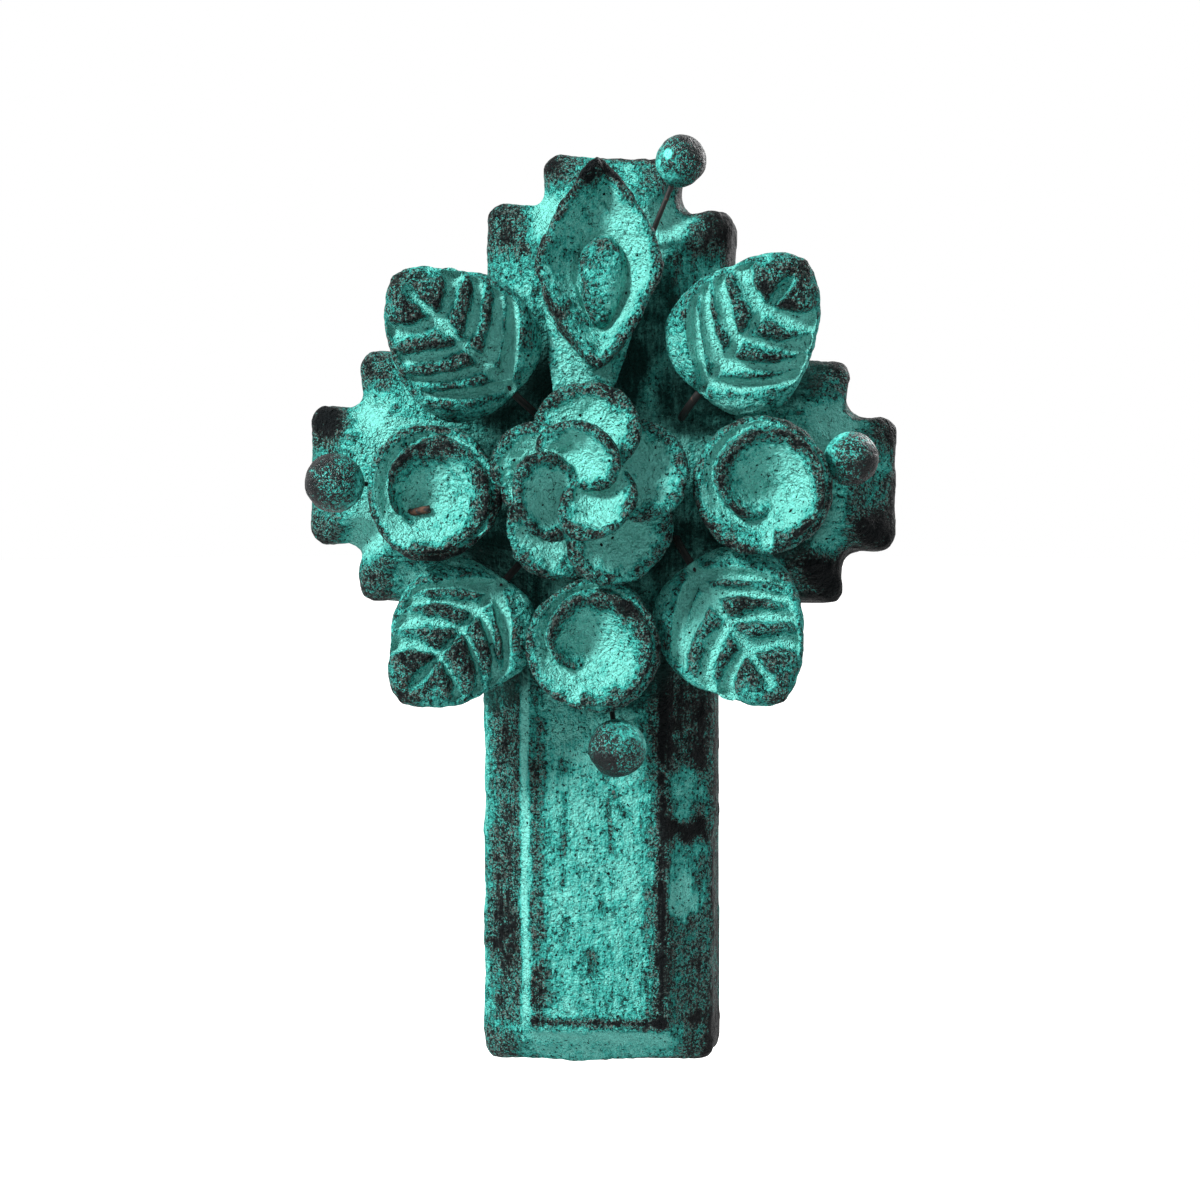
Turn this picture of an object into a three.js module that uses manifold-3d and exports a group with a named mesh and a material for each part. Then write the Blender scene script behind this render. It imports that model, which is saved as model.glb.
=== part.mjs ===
// Clay wall cross with applied leaves, flowers and berries on iron wires.
// Millimetres, +Z up. The cross faces -Y, its flat back lies in the plane y = 0, and the origin is
// on that back, behind the middle of the crossing.
import * as THREE from 'three';
import { mergeVertices } from 'three/addons/utils/BufferGeometryUtils.js';
import Module from 'manifold-3d';

const wasm = await Module();
wasm.setup();

// Cross body: reach of each arm from the crossing, and half widths across it. The stem is built a
// little to the left, and widens to the foot.
const TOP_REACH = 62;
const LEFT_REACH = 57.4;
const RIGHT_REACH = 56.8;
const ARM_HALF = 23.6;
const STEM = { left: 23.1, right: 22.3 };
const FOOT = { left: 24, right: 22.9, leftReach: 117.2, rightReach: 116.4 };

// Stepped arm end: a middle tab stands out past two shoulders, with coves between them
const TAB_HALF = 12.8;
const TAB_STEP = 9.6;
const CORNER_EASE = 3.6;
const COVE_EASE = 4.6;
const FOOT_EASE = 3.4;
const PIT_EASE = 3;
const CORNER_STEPS = 3;

// Section through the body: upright wall, wide bevel, then a flat panel raised by a small step. The
// last three are shares of the way from the wall's outline to the panel's.
const WALL_DEPTH = 13;
const BEVEL_DEPTH = 6;
const PANEL_STEP = 1.3;
const FRONT = WALL_DEPTH + BEVEL_DEPTH + PANEL_STEP;
const WALL_ROUND = { below: 1, above: 0.4 };
const DRAFT = 0.12;
const EDGE_EASE = 0.08;
const STEP_AT = 0.93;

// Panel: half width, how far it keeps back from the shoulders, the coves and the ends, how much it
// narrows there, and how its corners are eased
const PANEL = {
  half: 13.6, shoulderBack: 8, coveBack: 4.5, endBack: 8.6, coveIn: 3.5, tabIn: 5.6,
  shoulderEase: 2, coveEase: 1.6, pitEase: 1.5, footEase: 1.4,
};

// The hand-built top arm leans to the right, in radians, from LEAN_FROM up to LEAN_FULL
const LEAN = 0.04;
const LEAN_FROM = -40;
const LEAN_FULL = 55;

// Blind nail hole in the back of the top arm, which slants up into the clay
const NAIL_HOLE = { radius: 2.5, depth: 10, height: 44, slant: 0.3, sides: 12 };

// Wires, and the clearance round a wire in its socket
const BERRY_WIRE_RADIUS = 0.5;
const STALK_WIRE_RADIUS = 0.75;
const WIRE_SIDES = 6;
const WIRE_STEPS = 5;
const CLEARANCE = 0.3;
const ROOT_DEPTH = 6.5;

// Leaf: length, width, height of the dome above the rim and depth of the belly under it. Its side
// veins leave the midrib at these shares of the length, as grooves swept towards the tip.
const LEAF = { length: 32.5, width: 27.8, crown: 5.8, belly: 4, round: 0.35, blunt: 0.65 };
const VEINS = { at: [0.085, 0.225, 0.4, 0.615], half: 0.032, sweep: 0.32, curve: 1.15, groove: 1.2 };

// Plain rows at the leaf's foot and tip, and its columns from rim to rim, over and under
const LEAF_ROWS = { foot: [0.004, 0.014, 0.034], tip: [0.77, 0.89, 0.96] };
const LEAF_COLUMNS = { over: [-1, -0.84, -0.5, -0.13, 0, 0.13, 0.5, 0.84], under: [1, 0.5, 0, -0.5] };

// Rolled flower: a sheet of clay wound into a funnel. Its lip is wide at the top and soft at its
// inner edge, and its rim is rounded.
const ROLLED = {
  radius: 12.3, height: 11.4, pit: 4.4, lip: 2.5, lipWidth: 0.8, rim: 0.8, foot: 3.8, columns: 26,
};
const FUNNEL_CURVE = 1.15;
const RIM_DIP = 1.5;
const PROFILE_STATIONS = 9;
const FUNNEL_STATIONS = 5;

// Calla lily: half width and half height of its mouth, how thick its lip is, and how pointed the
// mouth is, from 1 for an oval to 2 for a diamond. The tube and the bowl are sections with a centre,
// half width, half height and point of their own.
const LILY = { halfWidth: 11.8, halfHeight: 19, lip: 1.9, point: 1.55, sides: 24 };
const LILY_TUBE = [
  { centre: [-4.2, 9.6, -28], wide: 3, high: 3, point: 1 },
  { centre: [-4.2, 8.4, -25], wide: 4.4, high: 4.4, point: 1 },
  { centre: [-2.8, 7.2, -15.4], wide: 6.9, high: 8.6, point: 1.05 },
  { centre: [-1.2, 5.2, -5.4], wide: 9, high: 14.2, point: 1.3 },
];
const LILY_BOWL = [
  { centre: [0, 3.4, -1], wide: 5.2, high: 9.6, point: 1.45 },
  { centre: [0, 4.6, -2], wide: 2.4, high: 5.4, point: 1.3 },
];
const SPADIX = { x: 0.4, y: 3, z: -2.4, radius: [3.6, 2.8], halfLength: 7.6, taper: 0.45 };

// Rose: thickness of its petals, how the outer and inner ones are cupped, leant and lapped, and the
// core of clay behind them, as radius and height
const PETAL_THICK = 2.6;
const OUTER_PETALS = {
  count: 5, across: 11, along: 8.6, cup: 2.8, lean: -0.1, lap: -0.2, at: 9.9, front: 8.4, first: 1.66,
};
const INNER_PETALS = {
  count: 3, across: 8.9, along: 7.1, cup: 1.8, lean: 0.42, lap: -0.3, at: 4.8, front: 12.6, first: 1.15,
};
const BUD_OFFSET = [-2.4, 0, -1.2];
const ROSE_CORE = [[0, 0], [4.2, 0], [6, 4], [10, 8], [8, 11.6], [0, 12]];

const PATINA = 0x3f9f8a;
const WORN = 0x38403c;
const IRON = 0x3a2d26;

function clay(color) {
  return new THREE.MeshStandardMaterial({ color, roughness: 0.85, metalness: 0 });
}

function wireFinish() {
  return new THREE.MeshStandardMaterial({ color: IRON, roughness: 0.7, metalness: 0.6 });
}

function mix(a, b, t) {
  return a + (b - a) * t;
}

// Closed geometry with only its positions and its shared vertices merged
function bare(geometry) {
  const plain = geometry.clone();
  plain.deleteAttribute('normal');
  plain.deleteAttribute('uv');
  return mergeVertices(plain, 1e-4);
}

function toSolid(geometry) {
  const merged = bare(geometry);
  return new wasm.Manifold(new wasm.Mesh({
    numProp: 3,
    vertProperties: new Float32Array(merged.attributes.position.array),
    triVerts: new Uint32Array(merged.index.array),
  }));
}

function fromSolid(solid) {
  const mesh = solid.getMesh();
  const geometry = new THREE.BufferGeometry();
  geometry.setAttribute('position', new THREE.BufferAttribute(mesh.vertProperties.slice(), 3));
  geometry.setIndex(new THREE.BufferAttribute(mesh.triVerts.slice(), 1));
  geometry.computeVertexNormals();
  return geometry;
}

function joined(geometries) {
  return fromSolid(geometries.map(toSolid).reduce((whole, part) => whole.add(part)));
}

// Signed volume tells whether the faces point out
function signedVolume(points, index) {
  let volume = 0;
  for (let i = 0; i < index.length; i += 3) {
    const [a, b, c] = [points[index[i]], points[index[i + 1]], points[index[i + 2]]];
    volume += a.dot(new THREE.Vector3().crossVectors(b, c)) / 6;
  }
  return volume;
}

// Closed solid through loops of equally many points. An end loop of one point closes as a fan, and
// a longer one as a flat face.
function ringSolid(rings) {
  const points = rings.flat();
  const starts = [];
  rings.reduce((start, ring) => {
    starts.push(start);
    return start + ring.length;
  }, 0);
  const index = [];
  for (let k = 0; k + 1 < rings.length; k += 1) {
    const [low, high] = [rings[k], rings[k + 1]];
    const count = Math.max(low.length, high.length);
    for (let i = 0; i < count; i += 1) {
      const next = (i + 1) % count;
      const a = starts[k] + (low.length > 1 ? i : 0);
      const b = starts[k] + (low.length > 1 ? next : 0);
      const c = starts[k + 1] + (high.length > 1 ? i : 0);
      const d = starts[k + 1] + (high.length > 1 ? next : 0);
      if (low.length > 1) {
        index.push(a, b, d);
      }
      if (high.length > 1) {
        index.push(a, d, c);
      }
    }
  }
  [0, rings.length - 1].forEach((k) => {
    if (rings[k].length > 1) {
      const flat = rings[k].map((p) => new THREE.Vector2(p.x, p.z));
      const anticlockwise = THREE.ShapeUtils.area(flat) > 0;
      const first = k === 0;
      THREE.ShapeUtils.triangulateShape(flat, []).forEach((face) => {
        const turned = anticlockwise === first ? [face[0], face[2], face[1]] : face;
        index.push(...turned.map((i) => starts[k] + i));
      });
    }
  });
  if (signedVolume(points, index) < 0) {
    for (let i = 0; i < index.length; i += 3) {
      [index[i], index[i + 1]] = [index[i + 1], index[i]];
    }
  }
  const geometry = new THREE.BufferGeometry().setFromPoints(points);
  geometry.setIndex(index);
  geometry.computeVertexNormals();
  return geometry;
}

// A three.js primitive with every vertex moved by a rule
function moulded(geometry, move) {
  const shaped = bare(geometry);
  const position = shaped.attributes.position;
  const point = new THREE.Vector3();
  for (let i = 0; i < position.count; i += 1) {
    point.fromBufferAttribute(position, i);
    const to = move(point.clone());
    position.setXYZ(i, to.x, to.y, to.z);
  }
  shaped.computeVertexNormals();
  return shaped;
}

// Body outline

// One corner of the outline, as its point on the wall's foot and its match on the panel's edge
function corner(turn, u, v, ease, panelU, panelV, panelEase) {
  const [cos, sin] = [Math.cos(turn), Math.sin(turn)];
  return {
    wall: new THREE.Vector2(u * cos - v * sin, u * sin + v * cos),
    panel: new THREE.Vector2(panelU * cos - panelV * sin, panelU * sin + panelV * cos),
    ease,
    panelEase,
  };
}

function armEnd(turn, reach) {
  const shoulder = reach - TAB_STEP;
  const half = [
    [shoulder, ARM_HALF, CORNER_EASE, shoulder - PANEL.shoulderBack, PANEL.half, PANEL.shoulderEase],
    [shoulder, TAB_HALF, COVE_EASE, shoulder - PANEL.coveBack, PANEL.half - PANEL.coveIn, PANEL.coveEase],
    [reach, TAB_HALF, CORNER_EASE, reach - PANEL.endBack, TAB_HALF - PANEL.tabIn, PANEL.coveEase],
  ];
  const below = half.map(([u, v, ease, pu, pv, pe]) => corner(turn, u, -v, ease, pu, -pv, pe));
  const above = half.map(([u, v, ease, pu, pv, pe]) => corner(turn, u, v, ease, pu, pv, pe));
  return [...below, ...above.reverse()];
}

function armpit(signX, signZ) {
  const stem = signX > 0 ? STEM.right : STEM.left;
  const across = signZ > 0 ? ARM_HALF : stem;
  return {
    wall: new THREE.Vector2(signX * across, signZ * ARM_HALF),
    panel: new THREE.Vector2(signX * PANEL.half, signZ * PANEL.half),
    ease: PIT_EASE,
    panelEase: PANEL.pitEase,
  };
}

function bodyCorners() {
  const feet = [[-FOOT.left, FOOT.leftReach], [FOOT.right, FOOT.rightReach]];
  const foot = feet.map(([v, reach]) => {
    const panelV = Math.sign(v) * PANEL.half;
    return corner(-Math.PI / 2, reach, v, FOOT_EASE, reach - PANEL.endBack, panelV, PANEL.footEase);
  });
  return [
    ...armEnd(0, RIGHT_REACH), armpit(1, 1),
    ...armEnd(Math.PI / 2, TOP_REACH), armpit(-1, 1),
    ...armEnd(Math.PI, LEFT_REACH), armpit(-1, -1),
    ...foot, armpit(1, -1),
  ];
}

// Corners eased by a curve each, so that two outlines with the same corners match point by point
function easedOutline(points, eases) {
  const count = points.length;
  const outline = [];
  points.forEach((point, i) => {
    const before = points[(i + count - 1) % count];
    const after = points[(i + 1) % count];
    const start = point.clone().add(before.clone().sub(point).setLength(eases[i]));
    const end = point.clone().add(after.clone().sub(point).setLength(eases[i]));
    outline.push(...new THREE.QuadraticBezierCurve(start, point, end).getPoints(CORNER_STEPS));
  });
  return outline;
}

function leaning(point) {
  const share = THREE.MathUtils.clamp((point.y - LEAN_FROM) / (LEAN_FULL - LEAN_FROM), 0, 1);
  const turn = LEAN * share;
  return new THREE.Vector2(point.x + turn * Math.max(point.y, 0), point.y - turn * point.x);
}

function bodyGeometry() {
  const corners = bodyCorners();
  const wall = easedOutline(corners.map((c) => c.wall), corners.map((c) => c.ease)).map(leaning);
  const panel = easedOutline(corners.map((c) => c.panel), corners.map((c) => c.panelEase)).map(leaning);
  const loop = (share, depth) => wall.map((p, i) => new THREE.Vector3(
    mix(p.x, panel[i].x, share), -depth, mix(p.y, panel[i].y, share),
  ));
  const blank = ringSolid([
    loop(-DRAFT, 0),
    loop(0, WALL_DEPTH - WALL_ROUND.below),
    loop(EDGE_EASE, WALL_DEPTH + WALL_ROUND.above),
    loop(STEP_AT, WALL_DEPTH + BEVEL_DEPTH),
    loop(1, FRONT),
  ]);
  const { radius, depth, height, slant, sides } = NAIL_HOLE;
  const hole = new THREE.CylinderGeometry(radius, radius, 2 * depth, sides);
  hole.rotateX(-slant);
  hole.translate(LEAN * height, 0, height);
  return toSolid(blank).subtract(toSolid(hole));
}

// Leaf, with its rim in the plane y = 0, its dome to the front, its foot at the origin and its tip
// at +Z. Its half width grows fast from a round foot and closes in a blunt point.
function leafHalfWidth(s) {
  const { round, blunt } = LEAF;
  const shape = (t) => t ** round * (1 - t) ** blunt;
  return (LEAF.width / 2) * shape(s) / shape(round / (round + blunt));
}

// Rows run along the side veins: three rows for each groove, and plain ones at the foot and the tip
function leafRows() {
  const plain = (at) => ({ at, groove: 0 });
  const veins = VEINS.at.flatMap((at) => [
    plain(at - VEINS.half), { at, groove: 1 }, plain(at + VEINS.half),
  ]);
  return [...LEAF_ROWS.foot.map(plain), ...veins, ...LEAF_ROWS.tip.map(plain)];
}

function leafPoint(at, across, groove, side) {
  const foot = Math.min(1, at / VEINS.at[0]);
  const s = at + VEINS.sweep * (1 - at) * foot * Math.abs(across) ** VEINS.curve;
  const dome = Math.sqrt(Math.max(0, 1 - across * across)) * Math.sin(Math.PI * s ** 0.85) ** 0.45;
  const height = side > 0 ? LEAF.crown * dome - groove * VEINS.groove : -LEAF.belly * dome;
  return new THREE.Vector3(across * leafHalfWidth(s), -height, s * LEAF.length);
}

// Grooves run out before the rim, and the midrib before the tip
function leafGroove(row, across) {
  const rim = { 1: 0, 0.84: 0.45 }[Math.abs(across)] ?? 1;
  const midrib = across === 0 && row.at < 0.8 ? 0.9 : 0;
  return Math.max(row.groove * rim, midrib);
}

function leafGeometry() {
  const rings = leafRows().map((row) => [
    ...LEAF_COLUMNS.over.map((t) => leafPoint(row.at, t, leafGroove(row, t), 1)),
    ...LEAF_COLUMNS.under.map((t) => leafPoint(row.at, t, 0, -1)),
  ]);
  const foot = [new THREE.Vector3(0, 0, 0)];
  const tip = [new THREE.Vector3(0, 0, LEAF.length)];
  return ringSolid([foot, ...rings, tip]);
}

// Rolled flower, back at y = 0 and mouth to the front. Its lip leaves the pit and winds clockwise
// out to the rim in one turn, and the pit lies off the middle.
function rolledFlowerGeometry(size, start, pitX, pitZ) {
  const { height, pit, lip, lipWidth, rim: rimRound, foot, columns } = ROLLED;
  const radius = ROLLED.radius * size;
  const funnel = (r) => pit + (height - pit) * (r / radius) ** FUNNEL_CURVE;
  const stations = Array.from({ length: PROFILE_STATIONS }, () => []);
  for (let i = 0; i < columns; i += 1) {
    const turn = i / columns;
    const angle = start - turn * 2 * Math.PI;
    const rim = radius * (1 + 0.025 * Math.cos(angle + 1));
    const lipRadius = Math.min(radius * (0.12 + 0.86 * turn ** 0.58), rim - rimRound - lipWidth - 0.3);
    const step = lip * Math.min(1, turn * 6) * (1 - turn) ** 0.5;
    const crest = funnel(lipRadius) + step;
    const lipEdge = lipRadius + lipWidth;
    const outside = funnel(lipEdge) - 0.1 * step;
    const outer = height - RIM_DIP * Math.max(0, 1 - Math.abs(turn - 0.4) / 0.5);
    const profile = [
      [0.5 * lipRadius, mix(pit, crest, 0.5 ** FUNNEL_CURVE)],
      [lipRadius - 0.7 * Math.min(1, turn * 4 + 0.3), crest - 0.3],
      [lipRadius + 0.1, crest],
      [lipEdge, outside],
      [mix(lipEdge, rim - rimRound, 0.5), mix(outside, outer, 0.55)],
      [rim - rimRound, outer],
      [rim, outer - 1.4 * rimRound],
      [0.84 * rim, 0.45 * height],
      [foot, 0.5],
    ];
    profile.forEach(([r, h], k) => {
      const inward = k < FUNNEL_STATIONS ? 1 - r / rim : 0;
      stations[k].push(new THREE.Vector3(
        r * Math.cos(angle) + pitX * inward, -h, r * Math.sin(angle) + pitZ * inward,
      ));
    });
  }
  const centre = [new THREE.Vector3(pitX, -pit, pitZ)];
  const back = [new THREE.Vector3(0, 0, 0)];
  return ringSolid([centre, ...stations, back]);
}

// Calla lily: pointed mouth to the front, with its tube running down and back behind the rose
function pointedOval({ centre, wide, high, point }) {
  const shrink = (value) => Math.sign(value) * Math.abs(value) ** point;
  return Array.from({ length: LILY.sides }, (_, i) => {
    const angle = (i / LILY.sides) * 2 * Math.PI;
    return new THREE.Vector3(
      centre[0] + wide * shrink(Math.cos(angle)),
      centre[1],
      centre[2] + high * shrink(Math.sin(angle)),
    );
  });
}

function lilyGeometry() {
  const { halfWidth, halfHeight, lip, point } = LILY;
  // Ring of the lip, set in by shares of its thickness, whose two ends stand forward
  const lipRing = (y, inWide, inHigh, rise) => {
    const wide = halfWidth - inWide * lip;
    const high = halfHeight - inHigh * lip;
    return pointedOval({ centre: [0, y, 0], wide, high, point }).map((p) => {
      const along = p.z / halfHeight;
      return new THREE.Vector3(p.x, p.y - rise * along * along, p.z);
    });
  };
  const spathe = ringSolid([
    ...LILY_TUBE.map(pointedOval),
    lipRing(1.4, 0, 0, 1),
    lipRing(0, 0.5, 0.6, 1.6),
    lipRing(1, 1.2, 1.5, 1.2),
    ...LILY_BOWL.map(pointedOval),
  ]);
  const spadix = moulded(new THREE.SphereGeometry(1, 10, 7), (p) => {
    const taper = 1 - SPADIX.taper * p.y;
    return new THREE.Vector3(
      SPADIX.x + SPADIX.radius[0] * taper * p.x,
      SPADIX.y - SPADIX.radius[1] * taper * p.z,
      SPADIX.z + SPADIX.halfLength * p.y,
    );
  });
  return joined([spathe, spadix]);
}

// Rose petal: a thick disc cupped to the front, leaning forward at its outer edge, and lapped over
// its neighbour
function petal({ across, along, cup, lean, lap, at, front }, turn) {
  const disc = moulded(new THREE.SphereGeometry(1, 12, 6), (p) => {
    const out = p.x * p.x + p.z * p.z;
    const slab = Math.sign(p.y) * Math.sqrt(Math.abs(p.y));
    return new THREE.Vector3(across * p.x, -cup * out + 0.5 * PETAL_THICK * slab, along * p.z);
  });
  disc.rotateZ(lap);
  disc.rotateX(lean);
  disc.translate(0, -front, at);
  disc.rotateY(Math.PI / 2 - turn);
  return disc;
}

function roseGeometry() {
  const core = new THREE.LatheGeometry(ROSE_CORE.map((p) => new THREE.Vector2(...p)), 12);
  core.rotateX(-Math.PI / 2);
  const wreath = (kind) => Array.from({ length: kind.count }, (_, i) => (
    petal(kind, kind.first + (i * 2 * Math.PI) / kind.count)
  ));
  const bud = wreath(INNER_PETALS).map((shape) => shape.translate(...BUD_OFFSET));
  return joined([core, ...wreath(OUTER_PETALS), ...bud]);
}

// Placed pieces: where each one's own origin lies, then how it is turned
const cross = new THREE.Group();
const colours = { flower: clay(PATINA), body: clay(WORN) };

function place(geometry, name, x, y, z, turns, material) {
  const mesh = new THREE.Mesh(geometry, material.clone());
  mesh.name = name;
  mesh.position.set(x, y, z);
  mesh.rotation.set(turns[0], turns[1], turns[2], 'YXZ');
  mesh.updateMatrixWorld(true);
  cross.add(mesh);
  return mesh;
}

// Wire from its root in the body, out of the front and into the back or foot of a piece
function wire(name, radius, points) {
  const route = points.map((p) => new THREE.Vector3(...p));
  const tube = (r, spare) => {
    const ends = route.map((p) => p.clone());
    const last = ends.length - 1;
    ends[0].add(ends[0].clone().sub(ends[1]).setLength(spare));
    ends[last].add(ends[last].clone().sub(ends[last - 1]).setLength(spare));
    const section = new THREE.Shape(Array.from({ length: WIRE_SIDES }, (_, i) => {
      const angle = (i / WIRE_SIDES) * 2 * Math.PI;
      return new THREE.Vector2(r * Math.cos(angle), r * Math.sin(angle));
    }));
    const path = new THREE.CatmullRomCurve3(ends, false, 'centripetal');
    return new THREE.ExtrudeGeometry(section, { steps: WIRE_STEPS, extrudePath: path, bevelEnabled: false });
  };
  const mesh = new THREE.Mesh(tube(radius, 1e-4), wireFinish());
  mesh.name = name;
  cross.add(mesh);
  return tube(radius + CLEARANCE, CLEARANCE);
}

// A socket in a placed piece is cut by the wire's own path
function socket(mesh, bore) {
  const local = bore.clone().applyMatrix4(mesh.matrixWorld.clone().invert());
  mesh.geometry = fromSolid(toSolid(mesh.geometry).subtract(toSolid(local)));
}

const bores = [];
const rootY = -(FRONT - ROOT_DEPTH);

// Rose
const rose = place(roseGeometry(), 'rose', -0.4, -31, -1.1, [0, 0, 0], colours.flower);
bores.push([rose, wire('rose_wire', STALK_WIRE_RADIUS, [
  [0, rootY, -1.6], [0, -FRONT - 2, -1.6], [-0.4, -31, -1], [-0.4, -36, -1],
])]);

// Calla lily
const lily = place(lilyGeometry(), 'calla_lily', 1.1, -35, 38.7, [0, 0, 0], colours.flower);
bores.push([lily, wire('calla_lily_wire', STALK_WIRE_RADIUS, [
  [-4.2, rootY, 7.2], [-4, -FRONT - 1, 7.4], [-3.2, -25.2, 10.6], [-2.6, -26.6, 15],
])]);

// Rolled flowers: name, place, size, where the lip starts, and the pit's offset. Only the left
// one's wire shows in its pit, where it comes through and is bent over.
const FLOWER_BACK = -27.4;
const rolled = [
  { name: 'left_rolled_flower', x: -29, z: -2.2, size: 1.02, start: -1.9, pit: [-2.7, -3.4], bent: true },
  { name: 'right_rolled_flower', x: 30.7, z: -0.7, size: 1.03, start: -1.35, pit: [2.1, -1.5], bent: false },
  { name: 'bottom_rolled_flower', x: 0, z: -29.9, size: 1.02, start: -1.75, pit: [-1.4, -0.9], bent: false },
];
rolled.forEach(({ name, x, z, size, start, pit, bent }) => {
  const geometry = rolledFlowerGeometry(size, start, ...pit);
  const flower = place(geometry, name, x, FLOWER_BACK, z, [0, 0, 0], colours.flower);
  const [backX, backZ] = [x + 0.6 * pit[0], z + 0.6 * pit[1]];
  const inside = [x + pit[0], FLOWER_BACK - 2.6, z + pit[1]];
  const tip = [x + pit[0] + 2.2, FLOWER_BACK - ROLLED.pit - 1.6, z + pit[1] + 0.6];
  bores.push([flower, wire(`${name}_wire`, STALK_WIRE_RADIUS, [
    [backX * 0.88, rootY, backZ * 0.88], [backX * 0.9, -FRONT - 1.5, backZ * 0.9],
    [backX, FLOWER_BACK, backZ], inside, ...(bent ? [tip] : []),
  ])]);
});

// Leaves: name, foot of the leaf, the way it points from the crossing, and its size
const leaves = [
  ['top_left_leaf', -15.2, 15.9, 2.36, 0.97],
  ['top_right_leaf', 19.3, 16.1, 0.88, 0.98],
  ['bottom_left_leaf', -17, -18.8, -2.26, 0.94],
  ['bottom_right_leaf', 18, -15.8, -0.96, 0.98],
];
const LEAF_RISE = 0.36;
const LEAF_FOOT_Y = -26.4;
const LEAF_STALK = { back: 5.5, before: 1.5, inside: 6 };
leaves.forEach(([name, x, z, heading, size]) => {
  const shape = leafGeometry().scale(size, size, size);
  const turns = [LEAF_RISE, Math.PI / 2 - heading, 0];
  const leaf = place(shape, name, x, LEAF_FOOT_Y, z, turns, colours.flower);
  const out = new THREE.Vector3(0, 0, 1).transformDirection(leaf.matrixWorld);
  const along = (d) => [x + out.x * d, LEAF_FOOT_Y + out.y * d, z + out.z * d];
  const { back, before, inside } = LEAF_STALK;
  const [rootX, rootZ] = [x - back * Math.cos(heading), z - back * Math.sin(heading)];
  bores.push([leaf, wire(`${name}_wire`, STALK_WIRE_RADIUS, [
    [rootX, rootY, rootZ], [rootX * 1.02, -FRONT - 0.6, rootZ * 1.02], along(-before), along(inside),
  ])]);
});

// Berries: name, centre, radius, and the root of the wire
const berries = [
  ['top_berry', 15.7, -26, 58.5, 4.7, 9.4, 44],
  ['left_berry', -47.8, -34, -0.6, 5.5, -41, -1],
  ['right_berry', 47.1, -29.4, 3.8, 5, 42.4, 2.6],
  ['bottom_berry', 4.5, -33, -49.6, 5.4, 2.4, -43],
];
berries.forEach(([name, x, y, z, radius, rootX, rootZ]) => {
  const ball = new THREE.SphereGeometry(radius, 12, 8);
  const berry = place(ball, name, x, y, z, [Math.PI / 2, 0, 0], colours.flower);
  bores.push([berry, wire(`${name}_wire`, BERRY_WIRE_RADIUS, [
    [rootX, rootY, rootZ], [mix(rootX, x, 0.12), -FRONT - 1, mix(rootZ, z, 0.12)],
    [mix(rootX, x, 0.75), mix(-FRONT, y, 0.7), mix(rootZ, z, 0.75)], [x, y, z],
  ])]);
});

// Cross body last, with every socket cut into it
let body = bodyGeometry();
bores.forEach(([piece, bore]) => {
  socket(piece, bore);
  body = body.subtract(toSolid(bore));
});
place(fromSolid(body), 'cross_body', 0, 0, 0, [0, 0, 0], colours.body);

export default cross;
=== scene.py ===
"""Hand-built clay wall cross with a rose, a calla lily, rolled flowers, leaves and berries on iron wires.

Everything is in metres, +Z up. The cross faces -Y and its flat back lies in the plane y = 0.
"""

import math

import bpy
import numpy as np
from mathutils import Euler, Matrix, Vector


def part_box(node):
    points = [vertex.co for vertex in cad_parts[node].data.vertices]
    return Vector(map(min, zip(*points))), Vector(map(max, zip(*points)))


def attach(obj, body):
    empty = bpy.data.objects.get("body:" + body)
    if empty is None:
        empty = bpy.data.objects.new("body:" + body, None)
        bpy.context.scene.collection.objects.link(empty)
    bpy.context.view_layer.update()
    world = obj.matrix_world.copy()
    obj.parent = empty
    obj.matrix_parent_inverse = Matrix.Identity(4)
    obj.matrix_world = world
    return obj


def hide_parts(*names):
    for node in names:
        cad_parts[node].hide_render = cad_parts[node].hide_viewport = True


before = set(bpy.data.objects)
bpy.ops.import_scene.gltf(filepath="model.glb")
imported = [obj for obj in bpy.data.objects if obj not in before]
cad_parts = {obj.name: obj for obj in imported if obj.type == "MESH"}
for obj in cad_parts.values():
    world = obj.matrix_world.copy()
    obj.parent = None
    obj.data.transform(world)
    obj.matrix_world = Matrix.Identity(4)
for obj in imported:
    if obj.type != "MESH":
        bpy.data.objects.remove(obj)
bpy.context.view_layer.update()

bl_info = {
    "name": "Clay Wall Cross",
    "version": (1, 0, 0),
    "blender": (4, 5, 0),
    "location": "View3D > Sidebar > Wall Cross",
    "description": "Models a hand-built clay wall cross with flowers, leaves and berries on wires",
    "category": "Add Mesh",
}

MM = 0.001
TAU = 2 * math.pi

# Relief, as a share of the size it is measured at, that counts as a clear edge or hollow
RELIEF_FULL = 0.3
# Lumps in the clay, in millimetres: size and height
BODY_LUMPS = ((24, 1.3), (7, 0.7), (2.6, 0.45), (1.4, 0.28))
FINE_LUMPS = (1.0, 0.26)

# Cross body, in millimetres: how far the arms reach, their half widths, and the stepped ends
REACH = {"top": 62.0, "left": 57.4, "right": 56.8}
ARM_HALF = 23.6
STEM_HALF = {-1: 23.1, 1: 22.3}
FOOT = {-1: (24.0, 117.2), 1: (22.9, 116.4)}
TAB_HALF = 12.8
TAB_STEP = 9.6
CORNER_EASE = 3.6
COVE_EASE = 4.6
FOOT_EASE = 3.4
PIT_EASE = 3.0
PANEL_HALF = 13.6
PANEL_BACK = {"shoulder": 8.0, "cove": 4.5, "end": 8.6}
PANEL_IN = {"cove": 3.5, "tab": 5.6}
CURVE_STEPS = 6
LEAN = 0.04
LEAN_FROM, LEAN_FULL = -40.0, 55.0

# Section through the body: (share of the way from the wall's outline to the panel's, depth)
SECTION = [(-0.12, 0.0), (0.0, 12.0), (0.08, 13.4), (0.88, 18.75), (0.925, 18.6), (0.97, 19.9), (1.0, 20.3)]
NAIL_HOLE = {"radius": 2.5, "depth": 10.0, "height": 44.0, "slant": 0.3}


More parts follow.
